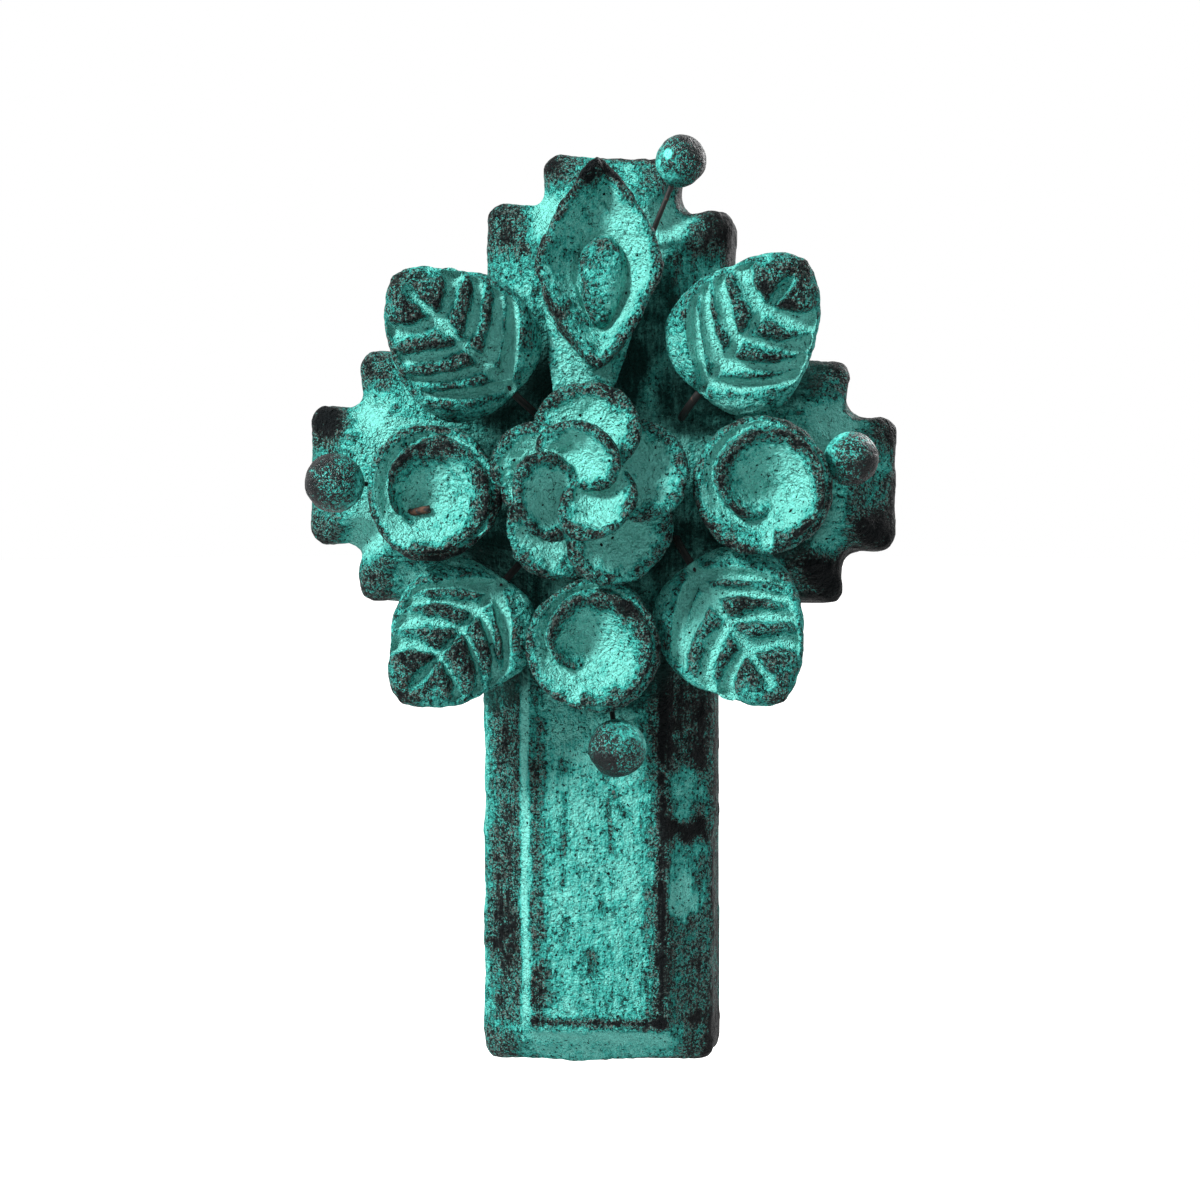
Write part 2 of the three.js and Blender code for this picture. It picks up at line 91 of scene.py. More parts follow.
def smoothstep(low, high, value):
    """0 below low, 1 above high, and a soft rise between them."""
    t = np.clip((value - low) / (high - low), 0, 1)
    return t * t * (3 - 2 * t)


def through(stations, at):
    """Values of a smooth curve through evenly spaced stations, at shares from 0 to 1 along it."""
    stations = np.asarray(stations, float)
    last = len(stations) - 1
    place = np.clip(at, 0, 1) * last
    k = np.minimum(place.astype(int), last - 1)
    t = (place - k)[:, None]
    before, start = stations[np.maximum(k - 1, 0)], stations[k]
    end, after = stations[k + 1], stations[np.minimum(k + 2, last)]
    return 0.5 * (
        2 * start
        + (end - before) * t
        + (2 * before - 5 * start + 4 * end - after) * t**2
        + (3 * start - before - 3 * end + after) * t**3
    )


def coordinates(piece):
    """The piece's vertices as an array, in metres."""
    points = np.empty(len(piece.data.vertices) * 3)
    piece.data.vertices.foreach_get("co", points)
    return points.reshape(-1, 3)


def put(piece, points):
    """Moves the piece's vertices to these points."""
    piece.data.vertices.foreach_set("co", np.asarray(points, np.float32).ravel())
    piece.data.update()


def clear_selection():
    """Deselects everything and leaves edit mode."""
    if bpy.context.mode != "OBJECT":
        bpy.ops.object.mode_set(mode="OBJECT")
    bpy.ops.object.select_all(action="DESELECT")


def choose(*pieces):
    """Selects only these objects, the first one active."""
    clear_selection()
    for piece in pieces:
        piece.select_set(True)
    bpy.context.view_layer.objects.active = pieces[0]


def modify(piece, kind, **settings):
    """Adds a modifier with these settings and applies it."""
    choose(piece)
    modifier = piece.modifiers.new(kind.lower(), kind)
    for key, value in settings.items():
        setattr(modifier, key, value)
    bpy.ops.object.modifier_apply(modifier=modifier.name)


def turn_outwards(piece):
    """Merges doubled vertices and points every face outwards."""
    choose(piece)
    bpy.ops.object.mode_set(mode="EDIT")
    bpy.ops.mesh.select_all(action="SELECT")
    bpy.ops.mesh.remove_doubles(threshold=1e-7)
    bpy.ops.mesh.normals_make_consistent(inside=False)
    bpy.ops.object.mode_set(mode="OBJECT")


def ball(segments, rings):
    """A new sphere of radius 1 whose vertices are about to be moved."""
    clear_selection()
    bpy.ops.mesh.primitive_uv_sphere_add(segments=segments, ring_count=rings, radius=1)
    return bpy.context.active_object


def round_the_sphere(unit):
    """Share of the way from the sphere's top pole to its bottom one, and the angle round its axis."""
    return np.arccos(np.clip(unit[:, 2], -1, 1)) / math.pi, np.arctan2(unit[:, 1], unit[:, 0])


def mould(piece, rule, crest=None):
    """Moves every vertex by a rule that gives millimetres, and marks the crests if there are any."""
    unit = coordinates(piece)
    if crest:
        mark(piece, "crest", crest(unit))
    put(piece, rule(unit) * MM)
    turn_outwards(piece)


def crests(piece):
    """The mark that the piece's crests were given, taken off again."""
    attribute = piece.data.attributes["crest"]
    values = np.empty(len(piece.data.vertices), np.float32)
    attribute.data.foreach_get("value", values)
    piece.data.attributes.remove(attribute)
    return values


def fuse(pieces, voxel):
    """Joins overlapping lumps of clay into one skin of even faces."""
    choose(*pieces)
    bpy.ops.object.join()
    whole = bpy.context.active_object
    modify(whole, "REMESH", mode="VOXEL", voxel_size=voxel * MM, use_smooth_shade=True)
    return whole


def soften(piece, times):
    """Rounds off the edges a little."""
    modify(piece, "SMOOTH", factor=0.5, iterations=times)


def lumps(piece, *grains, share=1.0):
    """Uneven clay: pushes the surface in and out, once for each size and height of lump in millimetres."""
    for size, height in grains:
        texture = bpy.data.textures.new(f"lumps_{size:g}", "CLOUDS")
        texture.noise_scale = size * MM
        texture.noise_depth = 1
        strength = height * share * MM
        modify(piece, "DISPLACE", texture=texture, strength=strength, mid_level=0.5, texture_coords="LOCAL")


def keep_within(piece, node):
    """Fits the piece to the box of the CAD node that it stands for."""
    low, high = (np.array(corner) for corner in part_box(node))
    points = coordinates(piece)
    least, most = points.min(0), points.max(0)
    put(piece, low + (points - least) * (high - low) / (most - least))


def place(piece, matrix):
    """Puts the piece in its place, with the place held in its mesh."""
    piece.data.transform(matrix)
    piece.data.update()


def move(piece, spot):
    """Moves the piece to a spot in millimetres."""
    place(piece, Matrix.Translation(Vector(spot) * MM))


def neighbour_mean(mesh):
    """A function that averages a per-vertex array over each vertex's neighbours."""
    ends = np.empty(len(mesh.edges) * 2, np.int32)
    mesh.edges.foreach_get("vertices", ends)
    a, b = ends[::2], ends[1::2]
    count = len(mesh.vertices)
    share = 1 / np.maximum(np.bincount(ends, minlength=count), 1)

    def mean(values):
        columns = [
            (np.bincount(a, values[b, k], count) + np.bincount(b, values[a, k], count)) * share
            for k in range(values.shape[1])
        ]
        return np.stack(columns, axis=1)

    return mean


def reliefs(piece, sizes):
    """How far each vertex stands out of (above 0) or lies in (below 0) its surroundings, at each size."""
    mesh = piece.data
    points = coordinates(piece) / MM
    normals = np.empty(len(mesh.vertices) * 3)
    mesh.vertices.foreach_get("normal", normals)
    normals = normals.reshape(-1, 3)
    ends = np.empty(len(mesh.edges) * 2, np.int32)
    mesh.edges.foreach_get("vertices", ends)
    edge = np.median(np.linalg.norm(points[ends[::2]] - points[ends[1::2]], axis=1))
    mean = neighbour_mean(mesh)
    smooth, done, found = points.copy(), 0, []
    for size in sizes:
        steps = int(round(4 * (size / edge) ** 2))
        for _ in range(max(steps - done, 1)):
            smooth += 0.5 * (mean(smooth) - smooth)
        done = max(steps, done + 1)
        found.append(((points - smooth) * normals).sum(1) / size)
    return found


def mark(piece, name, values):
    """Stores one value per vertex, which the finish reads."""
    attribute = piece.data.attributes.new(name, "FLOAT", "POINT")
    attribute.data.foreach_set("value", np.asarray(values, np.float32))


def rubbed(piece, weights, extra=0.0, sizes=(0.6, 1.6, 4.0)):
    """Marks how far the paint is rubbed off: 0 in hollows, 1 on edges and bumps."""
    wear = 0.5 + extra
    for weight, relief in zip(weights, reliefs(piece, sizes)):
        wear = wear + weight * np.tanh(relief / RELIEF_FULL)
    mark(piece, "wear", wear)


def near(points, centre, radius):
    """1 at a centre, falling softly to 0 by a radius, in millimetres."""
    gap = np.linalg.norm(points - np.asarray(centre, float), axis=1)
    return 1 - smoothstep(0.35 * radius, radius, gap)


def deliver(piece, name, nodes, finish):
    """Names a finished piece, gives it its finish and ties it to the frame."""
    piece.name = name
    piece.data.name = name
    piece.data.materials.clear()
    piece.data.materials.append(finish)
    choose(piece)
    bpy.ops.object.shade_smooth()
    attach(piece, "root")
    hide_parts(*nodes)


# Body outline


def corner(turn, u, v, ease, panel_u, panel_v, panel_ease):
    """A corner of the outline, turned to its arm: wall point, panel point, and how both are eased."""
    spin = np.array([[math.cos(turn), -math.sin(turn)], [math.sin(turn), math.cos(turn)]])
    return spin @ [u, v], spin @ [panel_u, panel_v], ease, panel_ease


def arm_end(turn, reach):
    """The six corners of a stepped arm end."""
    shoulder = reach - TAB_STEP
    cove_half = PANEL_HALF - PANEL_IN["cove"]
    tab_half = TAB_HALF - PANEL_IN["tab"]
    half = [
        (shoulder, ARM_HALF, CORNER_EASE, shoulder - PANEL_BACK["shoulder"], PANEL_HALF, 2.0),
        (shoulder, TAB_HALF, COVE_EASE, shoulder - PANEL_BACK["cove"], cove_half, 1.6),
        (reach, TAB_HALF, CORNER_EASE, reach - PANEL_BACK["end"], tab_half, 1.6),
    ]
    below = [corner(turn, u, -v, ease, pu, -pv, pe) for u, v, ease, pu, pv, pe in half]
    above = [corner(turn, u, v, ease, pu, pv, pe) for u, v, ease, pu, pv, pe in half]
    return below + above[::-1]


def armpit(sign_x, sign_z):
    """The inner corner between two arms."""
    across = ARM_HALF if sign_z > 0 else STEM_HALF[sign_x]
    wall = np.array([sign_x * across, sign_z * ARM_HALF])
    return wall, np.array([sign_x * PANEL_HALF, sign_z * PANEL_HALF]), PIT_EASE, 1.5


def foot_corner(sign):
    """A corner of the stem's foot."""
    half, reach = FOOT[sign]
    panel = reach - PANEL_BACK["end"]
    return corner(-math.pi / 2, reach, sign * half, FOOT_EASE, panel, sign * PANEL_HALF, 1.4)


def body_corners():
    """Every corner of the cross, anticlockwise from the right arm."""
    return [
        *arm_end(0, REACH["right"]), armpit(1, 1),
        *arm_end(math.pi / 2, REACH["top"]), armpit(-1, 1),
        *arm_end(math.pi, REACH["left"]), armpit(-1, -1),
        foot_corner(-1), foot_corner(1), armpit(1, -1),
    ]


def leaning(points):
    """The hand-built top arm leans a little to the right."""
    turn = LEAN * np.clip((points[:, 1] - LEAN_FROM) / (LEAN_FULL - LEAN_FROM), 0, 1)
    x = points[:, 0] + turn * np.maximum(points[:, 1], 0)
    z = points[:, 1] - turn * points[:, 0]
    return np.stack([x, z], axis=1)


def eased(points, eases):
    """An outline whose corners are eased by a curve each."""
    outline = []
    for i, point in enumerate(points):
        before, after = points[i - 1], points[(i + 1) % len(points)]
        start = point + (before - point) * eases[i] / np.linalg.norm(before - point)
        end = point + (after - point) * eases[i] / np.linalg.norm(after - point)
        for t in np.linspace(0, 1, CURVE_STEPS + 1):
            outline.append((1 - t) ** 2 * start + 2 * t * (1 - t) * point + t**2 * end)
    return leaning(np.array(outline))


def outlines():
    """The wall's outline and the panel's, which match point by point."""
    walls, panels, eases, panel_eases = zip(*body_corners())
    return eased(walls, eases), eased(panels, panel_eases)


def to_segment(points, start, end):
    """Distance of each point in the plane of the cross from a segment."""
    start, end = np.asarray(start, float), np.asarray(end, float)
    along = end - start
    t = np.clip(((points - start) @ along) / (along @ along), 0, 1)
    return np.linalg.norm(points - start - t[:, None] * along, axis=1)


# Gouges and cracks in the stem's front, in millimetres: ends, half width and depth
GOUGES = [
    ((-1.6, -92.7), (-0.2, -96.9), 0.7, 0.8),
    ((0.9, -57.1), (5.2, -64.9), 0.45, 0.4),
    ((5.2, -64.9), (7.6, -68.4), 0.45, 0.4),
    ((-6.5, -61.1), (-6.9, -79.9), 0.4, 0.3),
    ((0.4, -78.6), (0.8, -79.6), 0.7, 0.7),
    ((0.9, -82.6), (0.9, -83.9), 0.6, 0.7),
    ((-7.4, -55.8), (-7.2, -56.6), 0.7, 0.6),
    ((-6.3, -86.4), (-6.1, -86.9), 0.6, 0.6),
    ((1.7, -62.0), (2.7, -72.8), 0.5, 0.25),
]

# Bands along the stem's right bevel, from low to high: how far the paint is rubbed off or left
RIGHT_BEVEL = [
    (-116.0, -86.2, 0.3), (-85.8, -78.6, -0.1), (-78.2, -71.4, 0.14), (-71.0, -66.6, 0.55),
    (-65.5, -57.5, 0.06), (-56.5, -36.0, 0.42),
]

# How far each kind of corner is raised or scooped, and over what half width
CORNER_PUSH = {"lobe": (0.9, 3.6), "cove": (-1.5, 3.2)}

# Wear at each kind of corner: its change, and how far off it is full and gone. Lobes and feet wear round
# a point near the rim. Coves and pits keep their paint along a line.
CORNER_WEAR = {
    "lobe": (0.3, 2.5, 9.5), "cove": (-0.16, 2.0, 7.5), "foot": (0.26, 3.0, 10.0), "pit": (-0.08, 2.0, 11.0),
}

# Spots of painted shade on the body behind the rose, the lily's mouth, its tube and the bottom flower, where
# they shade it: place and radius
PAINTED_SHADE_SPOTS = [((0.5, -3.0), 19.0), ((3.0, 32.0), 14.0), ((-1.0, 20.0), 11.0), ((1.5, -32.0), 14.5)]

# Rubbed and painted patches on the body's front: place, radius and change. The four darker patches on the
# right arm's lower half are rubbed clay and painted shade.
BODY_PATCHES = [
    (53, -5, 9, 0.32), (47, -14, 8, 0.3), (41, -19, 8, 0.28), (37, -15, 7, 0.2), (-54, 8, 9, 0.14),
    (-50, 14, 7, 0.12), (22, 46, 7, 0.2), (17, 40, 6, 0.14), (-19, 42, 9, 0.2), (50, 9, 6, -0.1),
    (44, 14, 7, -0.08), (-44, -6, 8, -0.08),
    (2, -104, 7, 0.12), (-11, -100, 6, 0.14), (-19.5, -90, 9, 0.12), (-36, -14, 7, 0.1),
]


def band(values, centre, half):
    """1 at the middle of a band, falling softly to both sides."""
    return np.exp(-(((values - centre) / half) ** 2))


def body_blank(wall, panel):
    """The body before it is worked: its outline, pulled forward loop by loop and narrowed to the panel."""
    clear_selection()
    count = len(wall)
    bpy.ops.mesh.primitive_circle_add(vertices=count, fill_type="NGON")
    body = bpy.context.active_object

    def loop(share, depth):
        flat = wall + (panel - wall) * share
        return np.stack([flat[:, 0], np.full(count, -depth), flat[:, 1]], axis=1) * MM

    put(body, loop(*SECTION[0]))
    for share, depth in SECTION[1:]:
        bpy.ops.object.mode_set(mode="EDIT")
        bpy.ops.mesh.extrude_region_move(TRANSFORM_OT_translate={"value": (0, -MM, 0)})
        bpy.ops.object.mode_set(mode="OBJECT")
        points = coordinates(body)
        points[-count:] = loop(share, depth)
        put(body, points)
    turn_outwards(body)
    return body


def drill(body):
    """Cuts the blind nail hole into the back of the top arm."""
    clear_selection()
    height = NAIL_HOLE["height"] * MM
    bpy.ops.mesh.primitive_cylinder_add(
        vertices=32, radius=NAIL_HOLE["radius"] * MM, depth=2 * NAIL_HOLE["depth"] * MM,
        location=(LEAN * height, 0, height), rotation=(math.pi / 2 - NAIL_HOLE["slant"], 0, 0),
    )
    bit = bpy.context.active_object
    modify(body, "BOOLEAN", object=bit, operation="DIFFERENCE", solver="EXACT")
    bpy.data.objects.remove(bit)


def lobes_and_coves():
    """Segments from the wall to the panel along each lobe and each cove of the arm ends."""
    walls, panels, _, _ = zip(*body_corners())
    walls, panels = leaning(np.array(walls)), leaning(np.array(panels))
    arm_kinds = ["lobe", "cove", "lobe", "lobe", "cove", "lobe", "pit"]
    kinds = arm_kinds * 3 + ["foot", "foot", "pit"]
    return list(zip(kinds, walls, panels))


def work_body(body):
    """Raises the lobes, scoops the coves and cuts the gouges."""
    points = coordinates(body) / MM
    flat = points[:, [0, 2]]
    front = smoothstep(6.0, 14.0, -points[:, 1])
    push = np.zeros(len(points))
    for kind, start, end in lobes_and_coves():
        height, half = CORNER_PUSH.get(kind, (0, 1))
        push += height * band(to_segment(flat, start, start + 0.75 * (end - start)), 0, half)
    for start, end, width, depth in GOUGES:
        push -= depth * band(to_segment(flat, start, end), 0, width)
    normals = np.array([v.normal for v in body.data.vertices])
    put(body, (points + normals * (push * front)[:, None]) * MM)


def painted_body_shade(flat, depth):
    """Painted shade on the body: darker behind the pieces that stand off it, most of all below them and a
    little to their right, where their shadows fall.
    """
    spots = PAINTED_SHADE_SPOTS + [((x + 1.5, z - 2.0), 14.0) for _, (x, z), _, _, _ in ROLLED[:2]]
    for _, (x, z), heading, _ in LEAVES:
        spots.append(((x + 15 * math.cos(heading) + 1.5, z + 15 * math.sin(heading) - 2), 15.0))
        spots.append(((x, z), 9.0))
    unshaded = np.ones(len(flat))
    for centre, radius in spots:
        gap = np.linalg.norm(flat - np.array(centre), axis=1)
        unshaded *= 1 - 0.7 * (1 - smoothstep(0.76 * radius, 1.16 * radius, gap))
    return (1 - unshaded) * smoothstep(4.0, 12.0, depth)


def corner_wear(flat):
    """Wear round the lobes and feet, and paint kept along the coves and pits."""
    extra = np.zeros(len(flat))
    for kind, start, end in lobes_and_coves():
        change, full, gone = CORNER_WEAR[kind]
        if change > 0:
            gap = np.linalg.norm(flat - (start + 0.22 * (end - start)), axis=1)
        else:
            gap = to_segment(flat, start, end)
        extra += change * (1 - smoothstep(full, gone, gap))
    return extra


def stem_wear(x, depth, z):
    """Wear down the stem: beside the panel's edges, in bands along the right bevel, and at the foot. The
    right bevel is rubbed darker than the left, which is wear and painted shade.
    """
    beside, below = np.abs(x) - PANEL_HALF, -z - (FOOT[1][1] - PANEL_BACK["end"])
    raised = smoothstep(12.0, 15.0, depth)
    stem = smoothstep(-20.0, -36.0, z) * raised * (1 - smoothstep(-1.0, 1.5, below))
    left, right = stem * (x < 0), stem * (x > 0)
    bright = 0.3 + 0.07 * np.sin(0.43 * z) + 0.07 * np.sin(1.1 * z + 2)
    line = band(beside, 0.8 + 0.3 * np.sin(0.21 * z), 0.8)
    extra = left * (0.24 * band(beside, -1.8, 1.6) - bright * line + 0.37 * smoothstep(1.4, 2.6, beside))
    # The right bevel is rubbed darker than the left: wear, and painted shade on the side away from the light.
    extra += right * (0.5 * band(beside, -1.2, 1.2) + 0.2 * band(beside, -3.6, 1.8))
    ragged = 1.1 * np.sin(0.45 * z) + 0.7 * np.sin(1.2 * z + 0.5 * x)
    extra += right * 0.3 * smoothstep(4.2, 8.0, beside + ragged)
    bevel = smoothstep(-0.8, 0.8, beside) * right
    slanted = z + 0.12 * (x - 18) + 0.7 * np.sin(1.3 * x + 0.3 * z)
    for low, high, change in RIGHT_BEVEL:
        inside = smoothstep(low - 1.4, low + 1.4, slanted) * (1 - smoothstep(high - 1.4, high + 1.4, slanted))
        extra += change * bevel * inside
    foot = smoothstep(-98.0, -104.0, z) * (np.abs(x) < PANEL_HALF) * raised
    return extra + foot * (0.42 * band(below, -1.3, 0.8) - 0.14 * band(below, 1.8, 2.2))


def body_wear(body):
    """Where the body's paint is gone: lobes, panel edges and lower corners, but not coves or the crossing."""
    points = coordinates(body) / MM
    flat = points[:, [0, 2]]
    x, depth, z = points[:, 0], -points[:, 1], points[:, 2]
    back = smoothstep(3.0, 0.5, depth)
    side = smoothstep(14.0, 11.0, depth) * (1 - back)
    extra = corner_wear(flat) + stem_wear(x, depth, z) - 0.17
    # The right side walls are rubbed to dark clay and the left ones keep their paint: painted shade on the
    # side away from the light.
    extra += side * np.where(x > 0, 0.46, -0.02) + 0.06 * back
    for spot_x, spot_z, radius, change in BODY_PATCHES:
        extra += change * near(flat, (spot_x, spot_z), radius)
    for start, end, width, _ in GOUGES:
        extra += 0.3 * band(to_segment(flat, start, end), 0, width) * (depth > 12)
    # The painted shade behind the pieces is stored as a mark that the finish reads.
    mark(body, "grime", painted_body_shade(flat, depth))
    mark(body, "across", smoothstep(18.0, 27.0, np.abs(x)) * (1 - smoothstep(24.0, 30.0, np.abs(z))))
    rubbed(body, (0.06, 0.1, 0.06), extra)


def model_body(props):
    """The cross body with its lobes, coves, panel and nail hole."""
    wall, panel = outlines()
    body = body_blank(wall, panel)
    drill(body)
    modify(body, "REMESH", mode="VOXEL", voxel_size=props.grain, use_smooth_shade=True)
    soften(body, 5)
    before = coordinates(body)
    work_body(body)
    lumps(body, *BODY_LUMPS, share=props.unevenness)
    after = coordinates(body)
    back = smoothstep(-0.6 * MM, -3 * MM, before[:, 1])[:, None]
    put(body, before + (after - before) * back)
    keep_within(body, "cross_body")
    body_wear(body)
    deliver(body, "clay_cross", ["cross_body"], clay_finish("cross_clay"))


# Leaves: foot, heading and size

LEAVES = [
    ("top_left_leaf", (-15.2, 15.9), 2.36, 0.97),
    ("top_right_leaf", (19.3, 16.1), 0.88, 0.98),
    ("bottom_left_leaf", (-17.0, -18.8), -2.26, 0.94),
    ("bottom_right_leaf", (18.0, -15.8), -0.96, 0.98),
]
LEAF_RISE = 0.36
LEAF_FOOT_Y = -26.4
# Where the side veins leave the midrib, as shares of its length
VEINS = (0.11, 0.265, 0.45, 0.65)


def leaf_half_width(s, width):
    """Half the leaf's width at a share of its length: a round foot and a blunt point."""
    rounded, blunt = 0.35, 0.65
    peak = rounded / (rounded + blunt)
    shape = np.clip(s, 0, 1) ** rounded * np.clip(1 - s, 0, 1) ** blunt
    return 0.5 * width * shape / (peak**rounded * (1 - peak) ** blunt)


def leaf_grooves(s, t, half, props, seed):
    """Depth of the vein grooves: a midrib, and side veins swept to the tip, which run out by the rim."""
    rng = np.random.default_rng(seed)
    length, groove, wide = props.length / MM, props.groove / MM, 0.5 * props.groove_width / MM
    reach = np.abs(t)
    midrib = 1 - smoothstep(0.1 * wide, 1.6 * wide, reach * half)
    depth = midrib * (1 - smoothstep(0.83, 0.95, s)) * smoothstep(0.0, 0.05, s)
    for side in (-1, 1):
        for at in VEINS:
            start = at + rng.uniform(-0.018, 0.018)
            sweep = props.sweep * (1 + rng.uniform(-0.12, 0.12)) * (1 - at) * min(1, at / VEINS[0])
            gap = np.abs(s - start - sweep * reach**1.35) * length * 0.82
            own = wide * rng.uniform(0.85, 1.15)
            vein = 1 - smoothstep(0.2 * own, 1.8 * own, gap)
            ends = 1 - smoothstep(rng.uniform(0.8, 0.86), rng.uniform(0.95, 1.0), reach)
            depth = np.maximum(depth, vein * ends * (t * side > -0.02))
    return groove * depth


def model_leaf(name, foot, heading, size, props, seed):
    """One thick veined leaf, foot at its stalk and tip leaning forward."""
    leaf = ball(168, 128)
    length, width = props.length / MM, props.width / MM
    crown, belly = props.crown / MM, props.belly / MM

    def rule(unit):
        s = 0.5 * (unit[:, 2] + 1)
        ring = np.maximum(np.hypot(unit[:, 0], unit[:, 1]), 1e-9)
        t, bulge = unit[:, 0] / ring, np.abs(unit[:, 1]) / ring
        half = leaf_half_width(s, width)
        along = np.sin(np.pi * s**0.85) ** 0.45
        over = unit[:, 1] < 0
        grooves = leaf_grooves(s, t, half, props, seed)
        height = np.where(over, crown * bulge**0.8 * along - grooves * smoothstep(0.1, 0.5, bulge), 0)
        height -= np.where(over, 0, belly * bulge * along)
        return np.stack([t * half, -height, s * length], axis=1)

    mould(leaf, rule)
    soften(leaf, 2)
    lumps(leaf, (9 + seed % 3, 1.5), (2.6, 0.5), FINE_LUMPS)
    x, y, z = (coordinates(leaf) / MM).T
    s = z / length
    reach = np.abs(x) / np.maximum(leaf_half_width(s, width), 1.0)
    inner = 1 - smoothstep(0.45, 0.95, reach)
    extra = 0.2 * inner * smoothstep(0.2, 0.45, s) + 0.1 * smoothstep(0.5, 0.9, s)
    extra += 0.14 * smoothstep(0.9, 1.0, s) - 0.04 * smoothstep(0.0, 2.0, y) - 0.26
    turn = Euler((LEAF_RISE, math.pi / 2 - heading, 0), "ZXY").to_matrix().to_4x4()
    spot = Vector((foot[0], LEAF_FOOT_Y, foot[1])) * MM
    place(leaf, Matrix.Translation(spot) @ turn @ Matrix.Scale(size, 4))
    keep_within(leaf, name)
    rubbed(leaf, (0.05, 0.2, 0.05), extra)
    deliver(leaf, f"clay_{name}", [name], clay_finish("leaf_clay"))


# Rolled flowers: place, size, where the lip starts, and how far the pit lies off the middle

FLOWER_BACK = -27.4
ROLLED = [
    ("left_rolled_flower", (-29.0, -2.2), 1.02, -1.9, (-2.7, -3.4)),
    ("right_rolled_flower", (30.7, -0.7), 1.03, -1.35, (2.1, -1.5)),
    ("bottom_rolled_flower", (0.0, -29.9), 1.02, -1.75, (-1.4, -0.9)),
]
LEFT_CHIP = {"at": (8.6, -6.2), "radius": 2.6, "depth": 1.3}
# How round the rim is, how far the side bellies, and the shares of the sphere where rim and side start
RIM_ROUND, FLOWER_BELLY = 1.0, 3.8
AT_RIM, AT_SIDE = 0.7, 0.8
# The side from rim to back: share of the radius and of the height
FLOWER_SIDE = [(1, 1), (0.93, 0.72), (0.74, 0.36), (0.42, 0.1), (0, 0)]


def lip_height(x, step):
    """Section across the rolled lip: soft on the inside, steep on the outside, with a groove beyond it."""
    inner = np.exp(-((np.minimum(x, 0) / 2.4) ** 2))
    outer = 1.35 * (1 - smoothstep(0.4, 1.6, x)) - 0.35 * (1 - smoothstep(1.6, 4.6, x))
    return step * np.where(x < 0, inner, outer)


def model_rolled_flower(name, centre, size, start, pit, props, seed):
    """A sheet of clay wound into a funnel: the lip leaves the pit and winds clockwise out to the rim."""
    flower = ball(192, 120)
    radius, height = size * props.radius / MM, props.height / MM
    floor, lip = props.pit / MM, props.lip / MM

    def winding(unit):
        """Share round the sphere, angle, rim, how far round the lip is, and the lip's radius."""
        u, angle = round_the_sphere(unit)
        rim = radius * (1 + 0.03 * np.cos(angle + 1) + 0.014 * np.cos(3 * angle + seed))
        turn = ((start - angle) % TAU) / TAU
        lip_radius = np.minimum(radius * (0.16 + 0.82 * turn**0.5), rim - 2.0)
        return u, angle, rim, turn, lip_radius

    def crest(unit):
        u, _, rim, turn, lip_radius = winding(unit)
        r = (rim - RIM_ROUND) * np.clip(u / AT_RIM, 0, 1)
        width = 2.3 - 0.9 * smoothstep(0.15, 0.6, turn)
        return band(r - lip_radius, -0.7, width) * (1 - 0.5 * turn) * smoothstep(0, 0.06, turn) * (u < 0.75)

    def rule(unit):
        u, angle, rim, turn, lip_radius = winding(unit)
        top = height - 1.4 * np.maximum(0, 1 - np.abs(turn - 0.4) / 0.5)
        step = lip * np.minimum(1, 6 * turn) * np.sqrt(1 - 0.8 * turn)
        reach = rim - RIM_ROUND
        r = reach * np.clip(u / AT_RIM, 0, 1)
        share = r / reach
        bowl = floor + (top - floor) * (1 - (1 - share**1.3) ** 1.5)
        h = bowl + lip_height(r - lip_radius, step) * (1 - smoothstep(0.93, 1.0, share))
        roll = 0.5 * math.pi * np.clip((u - AT_RIM) / (AT_SIDE - AT_RIM), 0, 1)
        r = r + RIM_ROUND * np.sin(roll)
        h = h - RIM_ROUND * (1 - np.cos(roll))
        side = np.clip((u - AT_SIDE) / (1 - AT_SIDE), 0, 1)
        shape = through(FLOWER_SIDE, side)
        on_side = u > AT_SIDE
        r = np.where(on_side, rim * shape[:, 0] + FLOWER_BELLY * side * (1 - side), r)
        h = np.where(on_side, (top - RIM_ROUND) * shape[:, 1], h)
        inward = np.where(u < AT_RIM, 1 - share, 0)
        return np.stack(
            [r * np.cos(angle) + pit[0] * inward, -h, r * np.sin(angle) + pit[1] * inward], axis=1
        )

    mould(flower, rule, crest)
    soften(flower, 3)
    points = coordinates(flower) / MM
    off_pit = np.hypot(points[:, 0] - pit[0], points[:, 2] - pit[1])
    off_middle = np.hypot(points[:, 0], points[:, 2])
    extra = 0.3 * crests(flower) - 0.1 - 0.16 * (1 - smoothstep(0.35 * radius, 0.75 * radius, off_pit))
    extra += 0.12 * smoothstep(0.8 * radius, radius, off_middle) * (points[:, 2] < 0)
    if name == "left_rolled_flower":
        bite = near(points[:, [0, 2]], LEFT_CHIP["at"], LEFT_CHIP["radius"]) * (points[:, 1] < -4)
        points[:, 1] += LEFT_CHIP["depth"] * bite
        extra += 0.2 * bite
        put(flower, points * MM)
    lumps(flower, (7 + seed, 1.1), (2.4, 0.6), FINE_LUMPS)
    move(flower, (centre[0], FLOWER_BACK, centre[1]))
    keep_within(flower, name)
    rubbed(flower, (0.06, 0.12, 0.04), extra)
    deliver(flower, f"clay_{name}", [name], clay_finish("flower_clay"))


# Calla lily, from the tube's end round the lip to the trough: centre, half width, half height and
# how pointed the section is, from 1 for an oval to 2 for a diamond

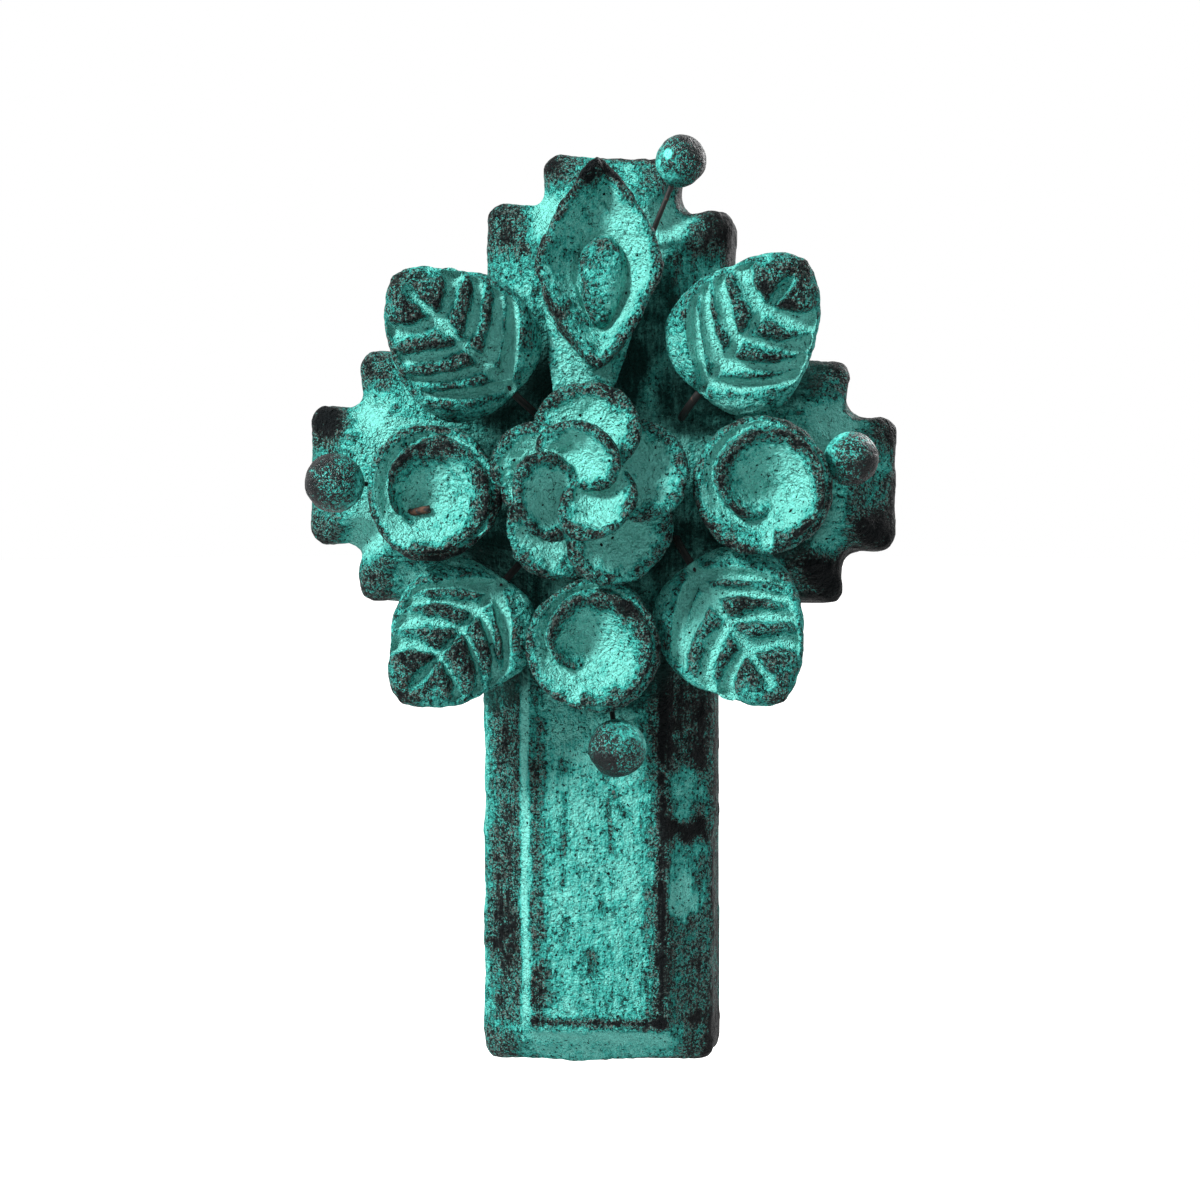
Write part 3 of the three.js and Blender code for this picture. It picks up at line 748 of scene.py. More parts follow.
LILY_AT = (1.1, -35.0, 38.7)
LILY_WIDTH, LILY_HEIGHT = 0.0236, 0.038
LILY_SECTIONS = [
    (-4.2, 9.6, -28.0, 0.4, 0.4, 1.0),
    (-4.2, 9.4, -27.9, 3.0, 3.0, 1.0),
    (-4.2, 8.4, -25.0, 4.4, 4.4, 1.0),
    (-2.8, 7.2, -15.4, 6.9, 8.6, 1.05),
    (-1.2, 5.2, -5.4, 9.0, 14.2, 1.3),
    (-0.3, 2.6, -1.0, 11.0, 18.2, 1.5),
    (0.0, 0.8, 0.0, 11.8, 19.0, 1.55),
    (0.0, -0.5, 0.0, 11.3, 18.6, 1.58),
    (0.0, -0.4, 0.0, 10.0, 17.2, 1.6),
    (0.1, 1.1, -0.2, 8.5, 15.4, 1.6),
    (0.2, 3.2, -0.7, 6.7, 12.8, 1.55),
    (0.3, 4.9, -1.4, 4.6, 9.4, 1.5),
    (0.3, 5.3, -2.0, 2.4, 5.4, 1.4),
    (0.3, 5.3, -2.4, 0.2, 0.4, 1.0),
]
SPADIX = {"x": 0.4, "z": -2.8, "half_width": 4.3, "half_length": 8.2, "height": 5.6}
LILY_KNOB = {"at": (-1.3, 16.8), "radius": 4.4, "height": 1.7}
# The mouth's half width and half height, and how it bows out, from 1 for a diamond to 2 for an oval
LILY_MOUTH = (11.8, 19.0)
LILY_SPREAD = 1.3
LILY_FOLD = {"from": (1.2, 18.6), "to": (0.9, 8.0), "half": 1.0, "depth": 1.5}


def pinch_lily(lily):
    """The knob where the left lip folds over the right one at the top, and the crease beside it."""
    points = coordinates(lily) / MM
    flat, front = points[:, [0, 2]], points[:, 1] < 3.5
    points[:, 1] -= LILY_KNOB["height"] * near(flat, LILY_KNOB["at"], LILY_KNOB["radius"]) * front
    crease = to_segment(flat, LILY_FOLD["from"], LILY_FOLD["to"])
    points[:, 1] += LILY_FOLD["depth"] * band(crease, 0, LILY_FOLD["half"]) * front
    put(lily, points * MM)


def model_lily(props):
    """A folded spathe with thick lips round its spadix, and a tube that runs back behind the rose."""
    lily = ball(224, 168)

    def rule(unit):
        u, angle = round_the_sphere(unit)
        cx, cy, cz, wide, high, point = through(LILY_SECTIONS, u).T
        wide, high = wide * props.width / LILY_WIDTH, high * props.height / LILY_HEIGHT
        cos, sin = np.cos(angle), np.sin(angle)
        x = cx + np.maximum(wide, 0) * np.sign(cos) * np.abs(cos) ** point
        z = cz + np.maximum(high, 0) * np.sign(sin) * np.abs(sin) ** point
        lip = smoothstep(0.3, 0.48, u) * (1 - smoothstep(0.6, 0.75, u))
        y = cy - 1.6 * lip * sin**2 + 0.5 * lip * np.sin(2 * angle + 0.6)
        drop = (z - SPADIX["z"]) / SPADIX["half_length"]
        swell = SPADIX["half_width"] * (1 + 0.24 * drop) * (1 - 0.1 * np.abs(drop))
        bud = 1 - np.abs((x - SPADIX["x"]) / swell) ** 2 - np.abs(drop) ** 2.2
        stands = SPADIX["height"] * np.clip(bud, 0, 1) ** 0.45 - 0.8 * band(bud, -0.2, 0.25)
        y = y - np.where(u > 0.6, stands, 0)
        return np.stack([x, y, z], axis=1)

    mould(lily, rule)
    pinch_lily(lily)
    soften(lily, 3)
    lumps(lily, (9, 1.3), (2.4, 0.7), FINE_LUMPS)
    x, y, z = (coordinates(lily) / MM).T
    flat = np.stack([x, z], axis=1)
    mouth = np.abs(x / LILY_MOUTH[0]) ** LILY_SPREAD + np.abs(z / LILY_MOUTH[1]) ** LILY_SPREAD
    lip = band(mouth, 0.96, 0.17) * (1 - smoothstep(2.0, 5.0, y))
    inside = (1 - smoothstep(0.6, 0.9, mouth)) * (1 - smoothstep(5.5, 7.0, y))
    extra = lip * (0.3 - 0.06 * smoothstep(-2, 8, x)) + 0.24 * near(flat, LILY_KNOB["at"], 6.0)
    # Inside the mouth the left slope is rubbed darker and the right slope keeps brighter paint: painted shade
    # on the slope away from the light and painted light on the one facing it.
    extra += inside * (0.06 - 0.18 * smoothstep(-2.5, 4.5, x)) - 0.17
    extra += 0.1 * near(flat, (SPADIX["x"], SPADIX["z"] + 2), 7.5) * (y < 3)
    move(lily, LILY_AT)
    keep_within(lily, "calla_lily")
    rubbed(lily, (0.06, 0.1, 0.05), extra)
    deliver(lily, "clay_calla_lily", ["calla_lily"], clay_finish("flower_clay"))


# Rose

ROSE_AT = (-0.4, -31.0, -1.1)
# A ring of petals: their half sizes, cup and two tilts, their place off the middle, and the first's turn
OUTER_PETALS = {
    "count": 5, "across": 10.0, "along": 8.6, "cup": 3.4, "lean": -0.1, "lap": -0.2, "at": 9.9,
    "front": 8.4, "first": 1.52,
}
INNER_PETALS = {
    "count": 3, "across": 8.3, "along": 6.2, "cup": 3.2, "lean": 0.3, "lap": -0.2, "at": 5.8,
    "front": 12.6, "first": 1.34,
}
PETAL_SIZES = [1.04, 0.86, 0.94, 1.0, 0.95, 1.0, 1.0, 0.94]
BUD_OFFSET = (-1.8, 0.0, 0.6)
# The cone behind the petals, as radius and height, and the size of the rose's faces
ROSE_CORE = [(0, 0), (4.2, 0), (6, 4), (10, 8), (8, 11.6), (0, 12)]
ROSE_GRAIN = 0.34


def petal(kind, turn, thick, offset):
    """A thick disc of clay cupped to the front, lapped over its neighbour."""
    disc = ball(56, 28)

    def rule(unit):
        x, y, z = unit[:, 0], unit[:, 2], unit[:, 1]
        out = x * x + z * z
        slab = np.sign(y) * np.sqrt(np.abs(y))
        curl = 1.1 * smoothstep(0.6, 1.0, out)
        points = [kind["across"] * x, -kind["cup"] * out + curl + 0.5 * thick * slab, kind["along"] * z]
        return np.stack(points, axis=1)

    mould(disc, rule)
    tilt = Matrix.Rotation(kind["lean"], 4, "X") @ Matrix.Rotation(kind["lap"], 4, "Z")
    spot = Matrix.Translation(Vector((0, -kind["front"], kind["at"])) * MM)
    swing = Matrix.Rotation(math.pi / 2 - turn, 4, "Y")
    place(disc, Matrix.Translation(Vector(offset) * MM) @ swing @ spot @ tilt)
    return disc


def rose_core():
    """The cone of clay behind the petals, spun from its profile."""
    core = ball(48, 24)

    def rule(unit):
        u, angle = round_the_sphere(unit)
        r, h = through(ROSE_CORE, u).T
        r = np.maximum(r, 0)
        return np.stack([r * np.cos(angle), -h, r * np.sin(angle)], axis=1)

    mould(core, rule)
    return core


def model_rose(props):
    """Five outer petals and a bud of three, pressed together."""
    rng = np.random.default_rng(5)
    thick = props.petal_thickness / MM
    petals = [rose_core()]
    for kind, offset in ((OUTER_PETALS, (0, 0, 0)), (INNER_PETALS, BUD_OFFSET)):
        for i in range(kind["count"]):
            turn = kind["first"] + i * TAU / kind["count"]
            own = dict(kind)
            own["across"] *= PETAL_SIZES[len(petals) - 1]
            own["cup"] *= rng.uniform(0.9, 1.25)
            own["lap"] *= rng.uniform(0.8, 1.3)
            petals.append(petal(own, turn, thick, offset))
    rose = fuse(petals, ROSE_GRAIN)
    soften(rose, 4)
    lumps(rose, (7, 1.1), (2.4, 0.6), FINE_LUMPS)
    move(rose, ROSE_AT)
    keep_within(rose, "rose")
    rubbed(rose, (0.08, 0.2, 0.14), -0.2)
    deliver(rose, "clay_rose", ["rose"], clay_finish("flower_clay"))


# Berries: centre, radius, the root of the wire in the body, the side where the paint is left, and
# how worn the middle is

BERRIES = [
    ("top_berry", (15.7, -26.0, 58.5), 4.7, (9.4, 44.0), (-0.55, -0.2, -0.6), 0.7),
    ("left_berry", (-47.8, -34.0, -0.6), 5.5, (-41.0, -1.0), (0.85, 0.1, -0.3), 0.66),
    ("right_berry", (47.1, -29.4, 3.8), 5.0, (42.4, 2.6), (-0.85, -0.1, 0.2), 0.62),
    ("bottom_berry", (4.5, -33.0, -49.6), 5.4, (2.4, -43.0), (0.55, 0.2, 0.6), 0.6),
]
# A pale spot of paint on the top berry's upper-left front: a painted highlight.
TOP_BERRY_HIGHLIGHT = (-2.2, -4.0, 0.6)


def model_berry(name, centre, radius, painted_side, worn):
    """A ball of clay rolled between the palms, smooth and a little uneven."""
    clear_selection()
    bpy.ops.mesh.primitive_ico_sphere_add(subdivisions=6, radius=radius * MM)
    berry = bpy.context.active_object
    lumps(berry, (4.5, 0.6), (1.2, 0.14))
    move(berry, centre)
    keep_within(berry, name)
    toward = (coordinates(berry) / MM - centre) @ np.array(painted_side) / radius
    extra = worn - 0.5 - 0.3 * toward
    # The top berry keeps paint in a pale spot where its highlight falls: a painted highlight.
    if name == "top_berry":
        extra -= 0.4 * near(coordinates(berry) / MM - centre, TOP_BERRY_HIGHLIGHT, 1.5)
    rubbed(berry, (0.06, 0.05, 0.0), extra, sizes=(0.5, 1.2, 2.0))
    deliver(berry, f"clay_{name}", [name], clay_finish("berry_clay"))


# Wires

BODY_FRONT = SECTION[-1][1]
ROOT_DEPTH = 6.5
ROOT_Y = -(BODY_FRONT - ROOT_DEPTH)
LEAF_STALK = {"back": 5.5, "before": 1.5, "inside": 6.0}
WIRE_POINTS = 25


def wire_routes():
    """(node, points) of every wire: from its root in the body into the back of its piece."""
    routes = [
        ("rose_wire", [(0, ROOT_Y, -1.6), (0, -BODY_FRONT - 2, -1.6), (-0.4, -31, -1), (-0.4, -36, -1)]),
        ("calla_lily_wire", [
            (-4.2, ROOT_Y, 7.2), (-4, -BODY_FRONT - 1, 7.4), (-3.2, -25.2, 10.6), (-2.6, -26.6, 15),
        ]),
    ]
    for name, (x, z), _, _, pit in ROLLED:
        back_x, back_z = x + 0.6 * pit[0], z + 0.6 * pit[1]
        route = [
            (0.88 * back_x, ROOT_Y, 0.88 * back_z), (0.9 * back_x, -BODY_FRONT - 1.5, 0.9 * back_z),
            (back_x, FLOWER_BACK, back_z), (x + pit[0], FLOWER_BACK - 2.6, z + pit[1]),
        ]
        if name == "left_rolled_flower":
            route[-1] = (x + pit[0] - 2.6, FLOWER_BACK - 4.9, z + pit[1] - 0.5)
            route.append((x + pit[0] + 1.4, FLOWER_BACK - 5.5, z + pit[1] + 0.2))
        routes.append((f"{name}_wire", route))
    for name, (x, z), heading, _ in LEAVES:
        turn = Euler((LEAF_RISE, math.pi / 2 - heading, 0), "ZXY").to_matrix()
        out = turn @ Vector((0, 0, 1))
        foot = Vector((x, LEAF_FOOT_Y, z))
        root_x = x - LEAF_STALK["back"] * math.cos(heading)
        root_z = z - LEAF_STALK["back"] * math.sin(heading)
        routes.append((f"{name}_wire", [
            (root_x, ROOT_Y, root_z), (1.02 * root_x, -BODY_FRONT - 0.6, 1.02 * root_z),
            tuple(foot - LEAF_STALK["before"] * out), tuple(foot + LEAF_STALK["inside"] * out),
        ]))
    for name, (x, y, z), _, (root_x, root_z), _, _ in BERRIES:
        routes.append((f"{name}_wire", [
            (root_x, ROOT_Y, root_z),
            (root_x + 0.12 * (x - root_x), -BODY_FRONT - 1, root_z + 0.12 * (z - root_z)),
            (
                root_x + 0.75 * (x - root_x), -BODY_FRONT + 0.7 * (y + BODY_FRONT),
                root_z + 0.75 * (z - root_z),
            ),
            (x, y, z),
        ]))
    return routes


def model_wire(node, points, radius, finish):
    """A length of iron wire bent by hand along its route."""
    clear_selection()
    path = through(points, np.linspace(0, 1, WIRE_POINTS)) * MM
    bpy.ops.curve.primitive_bezier_curve_add()
    wire = bpy.context.active_object
    wire.data.splines.clear()
    spline = wire.data.splines.new("POLY")
    spline.points.add(len(path) - 1)
    for point, spot in zip(spline.points, path):
        point.co = (*spot, 1)
    wire.data.dimensions = "3D"
    wire.data.bevel_depth = radius
    wire.data.bevel_resolution = 4
    wire.data.use_fill_caps = True
    choose(wire)
    bpy.ops.object.convert(target="MESH")
    turn_outwards(wire)
    deliver(wire, f"iron_{node}", [node], finish)


# Finishes


class Sheet:
    """Lays out shader nodes: each call adds one and gives its result."""

    def __init__(self, tree):
        self.tree = tree

    def node(self, kind, settings=None, **inputs):
        """Adds a node, sets it, and feeds its inputs with sockets or plain values."""
        made = self.tree.nodes.new(kind)
        for key, value in (settings or {}).items():
            setattr(made, key, value)
        for key, value in inputs.items():
            self.feed(made.inputs[key.replace("_", " ")], value)
        return made

    def feed(self, socket, value):
        """Links a socket to another, or sets its plain value."""
        if isinstance(value, bpy.types.NodeSocket):
            self.tree.links.new(value, socket)
        else:
            socket.default_value = value

    def sum(self, operation, a, b=0.0, c=0.0):
        """One step of arithmetic."""
        made = self.node("ShaderNodeMath", {"operation": operation})
        for socket, value in zip(made.inputs, (a, b, c)):
            self.feed(socket, value)
        return made.outputs[0]

    def ramp(self, value, low, high):
        """0 below low, 1 above high, soft between."""
        made = self.node("ShaderNodeMapRange", {"interpolation_type": "SMOOTHSTEP"}, Value=value)
        self.feed(made.inputs["From Min"], low)
        self.feed(made.inputs["From Max"], high)
        return made.outputs[0]

    def blend(self, share, a, b):
        """Mix of two colours."""
        made = self.node("ShaderNodeMix", {"data_type": "RGBA"})
        for socket, value in zip((made.inputs[0], made.inputs[6], made.inputs[7]), (share, a, b)):
            self.feed(socket, value)
        return made.outputs[2]

    def noise(self, vector, scale, detail, roughness):
        """Soft noise, mostly between 0.3 and 0.7."""
        made = self.node("ShaderNodeTexNoise", Vector=vector, Scale=scale, Detail=detail, Roughness=roughness)
        return made.outputs["Fac"]

    def centred(self, noise):
        """The noise with its middle moved to 0."""
        return self.sum("SUBTRACT", noise, 0.5)

    def stretched(self, vector, scale):
        """Coordinates scaled by a different amount along each axis."""
        made = self.node("ShaderNodeMapping", Vector=vector, Scale=scale)
        return made.outputs[0]


def blank_finish(name):
    """A new material, the sheet that its nodes are laid out on, and its main shader."""
    finish = bpy.data.materials.new(name)
    finish.use_nodes = True
    return finish, Sheet(finish.node_tree), finish.node_tree.nodes["Principled BSDF"]


# Colours of the finish, from thick paint to clay that fired brown
CLAY_COLOURS = {
    "Paint": (0.165, 0.6, 0.53),
    "Thin Paint": (0.026, 0.34, 0.3),
    "Stain": (0.013, 0.07, 0.062),
    "Clay": (0.004, 0.006, 0.007),
    "Rubbed Clay": (0.12, 0.15, 0.138),
    "Brown Clay": (0.08, 0.055, 0.038),
}
GROUP_INPUTS = [
    ("Wear", "NodeSocketFloat", 0.5),
    ("Across", "NodeSocketFloat", 0.5),
    ("Streaks", "NodeSocketFloat", 0.5),
    # Painted shade behind the pieces, from the body's mark
    ("Grime", "NodeSocketFloat", 0.0),
    ("Unevenness", "NodeSocketFloat", 1.0),
    ("Pallor", "NodeSocketFloat", 1.0),
    *[(label, "NodeSocketColor", (*colour, 1)) for label, colour in CLAY_COLOURS.items()],
]
GROUP_OUTPUTS = [
    ("Colour", "NodeSocketColor"), ("Roughness", "NodeSocketFloat"), ("Height", "NodeSocketFloat"),
]
# Grains of the finish: how many to a millimetre, detail and roughness
GRAINS = {
    "broad": (0.12, 2, 0.5), "patches": (0.4, 4, 0.62), "speckle": (1.4, 3, 0.68), "dust": (3.2, 1, 0.6),
}
# Brush streaks: how many to a metre across the stroke, into the clay and along the stroke
BRUSH_ACROSS, BRUSH_INTO, BRUSH_ALONG = 1300, 900, 170
BRUSH = (1.0, 3, 0.68)
# Depth in metres that a height of 1 stands for, in the clay and in the rust
CLAY_BUMP, RUST_BUMP = 0.0014, 0.00008
PINHOLE = (0.002, 0.004, 0.004, 1)
# Dark teal for random dirt and for the painted shade behind the pieces
SHADE_AND_DIRT = (0.004, 0.03, 0.026, 1)

# Finish of each kind of clay: how strong the brush streaks are, how uneven the wear is, how pale the
# bare clay is rubbed, and how smooth it is
CLAY_FINISHES = {
    "cross_clay": {"streaks": 0.75, "unevenness": 0.72, "pallor": 1.0, "shine": 0.0},
    "flower_clay": {"streaks": 0.35, "unevenness": 1.0, "pallor": 1.0, "shine": 0.0},
    "leaf_clay": {"streaks": 0.35, "unevenness": 0.9, "pallor": 1.0, "shine": 0.0},
    "berry_clay": {"streaks": 0.2, "unevenness": 0.8, "pallor": 0.25, "shine": 0.5},
}


def patina_group():
    """Shared finish: turquoise paint over dark clay, rubbed off where the wear mark is high."""
    name = "rubbed_patina"
    if name in bpy.data.node_groups:
        return bpy.data.node_groups[name]
    tree = bpy.data.node_groups.new(name, "ShaderNodeTree")
    for label, kind, default in GROUP_INPUTS:
        socket = tree.interface.new_socket(label, in_out="INPUT", socket_type=kind)
        socket.default_value = default
    for label, kind in GROUP_OUTPUTS:
        tree.interface.new_socket(label, in_out="OUTPUT", socket_type=kind)
    s = Sheet(tree)
    given = tree.nodes.new("NodeGroupInput").outputs
    result = tree.nodes.new("NodeGroupOutput").inputs
    metres = s.node("ShaderNodeTexCoord").outputs["Object"]
    mm = s.stretched(metres, (1000, 1000, 1000))

    # Grains and brush streaks
    broad, patches, speckle, dust = (s.noise(mm, *grain) for grain in GRAINS.values())
    upright = s.noise(s.stretched(metres, (BRUSH_ACROSS, BRUSH_INTO, BRUSH_ALONG)), *BRUSH)
    level = s.noise(s.stretched(metres, (BRUSH_ALONG, BRUSH_INTO, BRUSH_ACROSS)), *BRUSH)
    brush = s.node("ShaderNodeMix", Factor=given["Across"], A=upright, B=level).outputs[0]
    streaks = s.sum("MULTIPLY", s.centred(brush), given["Streaks"])

    # The wear mark made uneven, least where the paint lies thick
    spread = s.sum("MULTIPLY_ADD", s.ramp(given["Wear"], 0.1, 0.42), 0.65, 0.35)
    uneven = streaks
    for grain, weight in ((broad, 0.6), (patches, 0.85), (speckle, 0.55)):
        uneven = s.sum("MULTIPLY_ADD", s.centred(grain), weight, uneven)
    uneven = s.sum("MULTIPLY", uneven, given["Unevenness"])
    worn = s.sum("MULTIPLY_ADD", uneven, spread, given["Wear"])

    # Paint, from thick to a stain
    tone = s.sum("MULTIPLY_ADD", s.centred(dust), 0.4, worn)
    paint = s.blend(s.ramp(tone, 0.12, 0.54), given["Paint"], given["Thin Paint"])
    paint = s.blend(s.ramp(worn, 0.42, 0.58), paint, given["Stain"])

    # Bare clay: rubbed pale in mottles, brown in places, with paint left in its grain
    mottle = s.noise(mm, 0.8, 4, 0.72)
    mottle = s.ramp(s.sum("MULTIPLY_ADD", dust, 0.6, mottle), 0.62, 0.93)
    clay = s.blend(s.sum("MULTIPLY", mottle, given["Pallor"]), given["Clay"], given["Rubbed Clay"])
    brown = s.ramp(s.sum("MULTIPLY_ADD", speckle, -0.5, broad), 0.2, 0.4)
    brown = s.sum("MULTIPLY", s.sum("MULTIPLY", brown, given["Pallor"]), 0.14)
    clay = s.blend(brown, clay, given["Brown Clay"])
    left_over = s.ramp(s.sum("MULTIPLY_ADD", worn, -0.4, dust), 0.19, 0.33)
    clay = s.blend(s.sum("MULTIPLY", left_over, 0.75), clay, given["Thin Paint"])
    clay = s.blend(s.ramp(worn, 0.7, 0.92), clay, given["Clay"])

    # Paint or clay, and dark flecks in both
    bare = s.ramp(worn, 0.51, 0.6)
    colour = s.blend(bare, paint, clay)
    flecks = s.noise(mm, 1.7, 2, 0.6)
    flecks = s.ramp(s.sum("MULTIPLY_ADD", worn, 0.25, flecks), 0.68, 0.74)
    colour = s.blend(s.sum("MULTIPLY", flecks, 0.9), colour, given["Clay"])

    # Pinholes, fine cracks, and dark teal for random dirt and for painted shade behind the pieces
    cells = s.node("ShaderNodeTexVoronoi", {"feature": "F1"}, Vector=mm, Scale=0.5, Randomness=1.0)
    chance = s.node("ShaderNodeSeparateColor", Color=cells.outputs["Color"]).outputs[0]
    size = s.sum("MULTIPLY", s.ramp(chance, 0.55, 1.0), 0.16)
    edge = s.sum("MULTIPLY_ADD", s.centred(dust), 0.3, cells.outputs["Distance"])
    hole = s.ramp(s.sum("SUBTRACT", size, edge), -0.01, 0.03)
    hole = s.sum("MULTIPLY", hole, s.ramp(size, 0.02, 0.04))
    colour = s.blend(hole, colour, PINHOLE)
    crack = s.sum("ABSOLUTE", s.centred(s.noise(mm, 0.33, 4, 0.55)))
    crack = s.sum("SUBTRACT", 1.0, s.ramp(crack, 0.004, 0.014))
    crack = s.sum("MULTIPLY", crack, s.ramp(s.noise(mm, 0.2, 2, 0.5), 0.54, 0.6))
    colour = s.blend(s.sum("MULTIPLY", crack, 0.75), colour, PINHOLE)
    # Random dirt from the unevenness, and painted shade where the body's shade mark is high
    dirt_and_shade = s.sum("MULTIPLY_ADD", uneven, 0.8, given["Grime"])
    colour = s.blend(s.ramp(dirt_and_shade, 0.1, 0.9), colour, SHADE_AND_DIRT)

    # Height of the fine relief, and roughness
    height = speckle
    for value, weight in (
        (s.noise(mm, 0.7, 3, 0.6), 1.6), (patches, 0.8), (crack, -0.2), (streaks, 0.6), (dust, 0.14),
        (bare, -0.1), (flecks, -0.2), (hole, -1.0),
    ):
        height = s.sum("MULTIPLY_ADD", value, weight, height)
    rough = s.sum("MULTIPLY_ADD", bare, -0.36, 0.74)
    rough = s.sum("MULTIPLY_ADD", speckle, 0.16, rough)

    s.feed(result["Colour"], colour)
    s.feed(result["Roughness"], rough)
    s.feed(result["Height"], height)
    return tree


def clay_finish(slot):
    """Rubbed paint on dark clay, for the pieces of one slot."""
    shine, name = CLAY_FINISHES[slot]["shine"], f"rubbed_paint_on_{slot}"
    if name in bpy.data.materials:
        return bpy.data.materials[name]
    colours = bpy.context.scene.wallcross_finish
    finish, s, shader = blank_finish(name)
    group = s.node("ShaderNodeGroup", {"node_tree": patina_group()})
    # Wear, brush direction and painted shade behind the pieces come from marks on the mesh
    for label, mark_name in (("Wear", "wear"), ("Across", "across"), ("Grime", "grime")):
        attribute = s.node("ShaderNodeAttribute", {"attribute_name": mark_name})
        s.feed(group.inputs[label], attribute.outputs["Fac"])
    for label in ("Streaks", "Unevenness", "Pallor"):
        s.feed(group.inputs[label], CLAY_FINISHES[slot][label.lower()])
    for label in CLAY_COLOURS:
        s.feed(group.inputs[label], (*getattr(colours, label.lower().replace(" ", "_")), 1))
    rough = s.sum("SUBTRACT", group.outputs["Roughness"], 0.5 * shine)
    depth = CLAY_BUMP * (1 - 1.5 * shine)
    bump = s.node("ShaderNodeBump", Strength=1.0, Distance=depth, Height=group.outputs["Height"])
    s.feed(shader.inputs["Base Color"], group.outputs["Colour"])
    s.feed(shader.inputs["Roughness"], rough)
    s.feed(shader.inputs["Normal"], bump.outputs["Normal"])
    shader.inputs["Specular IOR Level"].default_value = 0.16 if shine else 0.07
    return finish


def wire_finish(rusted):
    """Dark iron with specks of rust, or rusted all over."""
    name = "rusted_iron" if rusted else "dark_iron"
    if name in bpy.data.materials:
        return bpy.data.materials[name]
    colours = bpy.context.scene.wallcross_finish
    finish, s, shader = blank_finish(name)
    mm = s.stretched(s.node("ShaderNodeTexCoord").outputs["Object"], (1000, 1000, 1000))
    spots = s.noise(mm, 0.9, 6, 0.65)
    rust = s.ramp(spots, 0.42, 0.56) if rusted else s.ramp(spots, 0.6, 0.72)
    s.feed(shader.inputs["Base Color"], s.blend(rust, (*colours.iron, 1), (*colours.rust, 1)))
    s.feed(shader.inputs["Roughness"], s.sum("MULTIPLY_ADD", rust, 0.35, 0.5))
    s.feed(shader.inputs["Metallic"], s.sum("MULTIPLY_ADD", rust, -0.5, 0.6))
    bump = s.node("ShaderNodeBump", Distance=RUST_BUMP, Height=rust)
    s.feed(shader.inputs["Normal"], bump.outputs["Normal"])
    return finish


# Stage

# Soft boxes: place, size, power as a share of the key light's, and tint
SOFT_BOXES = {
    "key_light": ((-0.66, -0.62, 0.62), 0.22, 1.0, (1.0, 0.99, 0.97)),
    "back_light": ((0.7, 0.8, 0.6), 0.8, 0.45, (1, 1, 1)),
}


def model_floor(height):
    """A plain pale floor well under the cross, which hangs."""
    clear_selection()
    bpy.ops.mesh.primitive_circle_add(vertices=96, radius=6.0, fill_type="NGON", location=(0, 0, height))
    floor = bpy.context.active_object
    floor.name = "pale_floor"
    place(floor, floor.matrix_world.copy())
    floor.matrix_world = Matrix.Identity(4)
    finish, s, shader = blank_finish("pale_floor")
    shader.inputs["Base Color"].default_value = (0.5, 0.5, 0.5, 1)
    shader.inputs["Roughness"].default_value = 0.9
    shader.inputs["Emission Color"].default_value = (1, 1, 1, 1)
    s.feed(shader.inputs["Emission Strength"], s.node("ShaderNodeLightPath").outputs["Is Camera Ray"])
    floor.data.materials.append(finish)


def soft_light(name, spot, aim, size, power, tint):
    """A square soft box that faces the cross."""
    clear_selection()
    bpy.ops.object.light_add(type="AREA", location=spot)
    light = bpy.context.active_object
    light.name = name
    light.data.size = size
    light.data.energy = power
    light.data.color = tint
    light.rotation_euler = (Vector(aim) - Vector(spot)).to_track_quat("-Z", "Y").to_euler()


def light_world(fill):
    """Even white behind the cross, and a weaker fill from all round it."""
    world = bpy.data.worlds.new("studio")
    bpy.context.scene.world = world
    world.use_nodes = True
    s = Sheet(world.node_tree)
    background = world.node_tree.nodes["Background"]
    background.inputs["Color"].default_value = (1, 1, 1, 1)
    seen = s.node("ShaderNodeLightPath").outputs["Is Camera Ray"]
    s.feed(background.inputs["Strength"], s.sum("MULTIPLY_ADD", seen, 1 - fill, fill))


def set_camera(props):
    """The camera at the photograph's viewing angle."""
    azimuth, elevation = props.azimuth, props.elevation
    level = math.cos(elevation)
    back = Vector((math.sin(azimuth) * level, -math.cos(azimuth) * level, math.sin(elevation)))
    look = Vector(props.look_at)
    clear_selection()
    bpy.ops.object.camera_add(location=look + props.distance * back)
    camera = bpy.context.active_object
    camera.rotation_euler = (-back).to_track_quat("-Z", "Y").to_euler()
    camera.data.lens = props.lens
    camera.data.sensor_width = 36
    camera.data.clip_start = 0.01
    bpy.context.scene.camera = camera


# Settings


class WallCrossBody(bpy.types.PropertyGroup):
    grain: bpy.props.FloatProperty(
        name="Grain", description="Size of the faces on the worked body", default=0.00068, unit="LENGTH"
    )
    unevenness: bpy.props.FloatProperty(
        name="Unevenness", description="How uneven the hand-worked clay is", default=1.0
    )


class WallCrossLeaf(bpy.types.PropertyGroup):
    length: bpy.props.FloatProperty(
        name="Length", description="Length of a leaf", default=0.0325, unit="LENGTH"
    )
    width: bpy.props.FloatProperty(
        name="Width", description="Width of a leaf", default=0.0278, unit="LENGTH"
    )
    crown: bpy.props.FloatProperty(
        name="Crown", description="Height of the dome over the rim", default=0.0058, unit="LENGTH"
    )
    belly: bpy.props.FloatProperty(
        name="Belly", description="Depth of the belly under the rim", default=0.004, unit="LENGTH"
    )
    groove: bpy.props.FloatProperty(
        name="Groove Depth", description="Depth of the vein grooves", default=0.0026, unit="LENGTH"
    )
    groove_width: bpy.props.FloatProperty(
        name="Groove Width", description="Width of the vein grooves", default=0.0022, unit="LENGTH"
    )
    sweep: bpy.props.FloatProperty(
        name="Sweep", description="How far the side veins sweep to the tip", default=0.42
    )


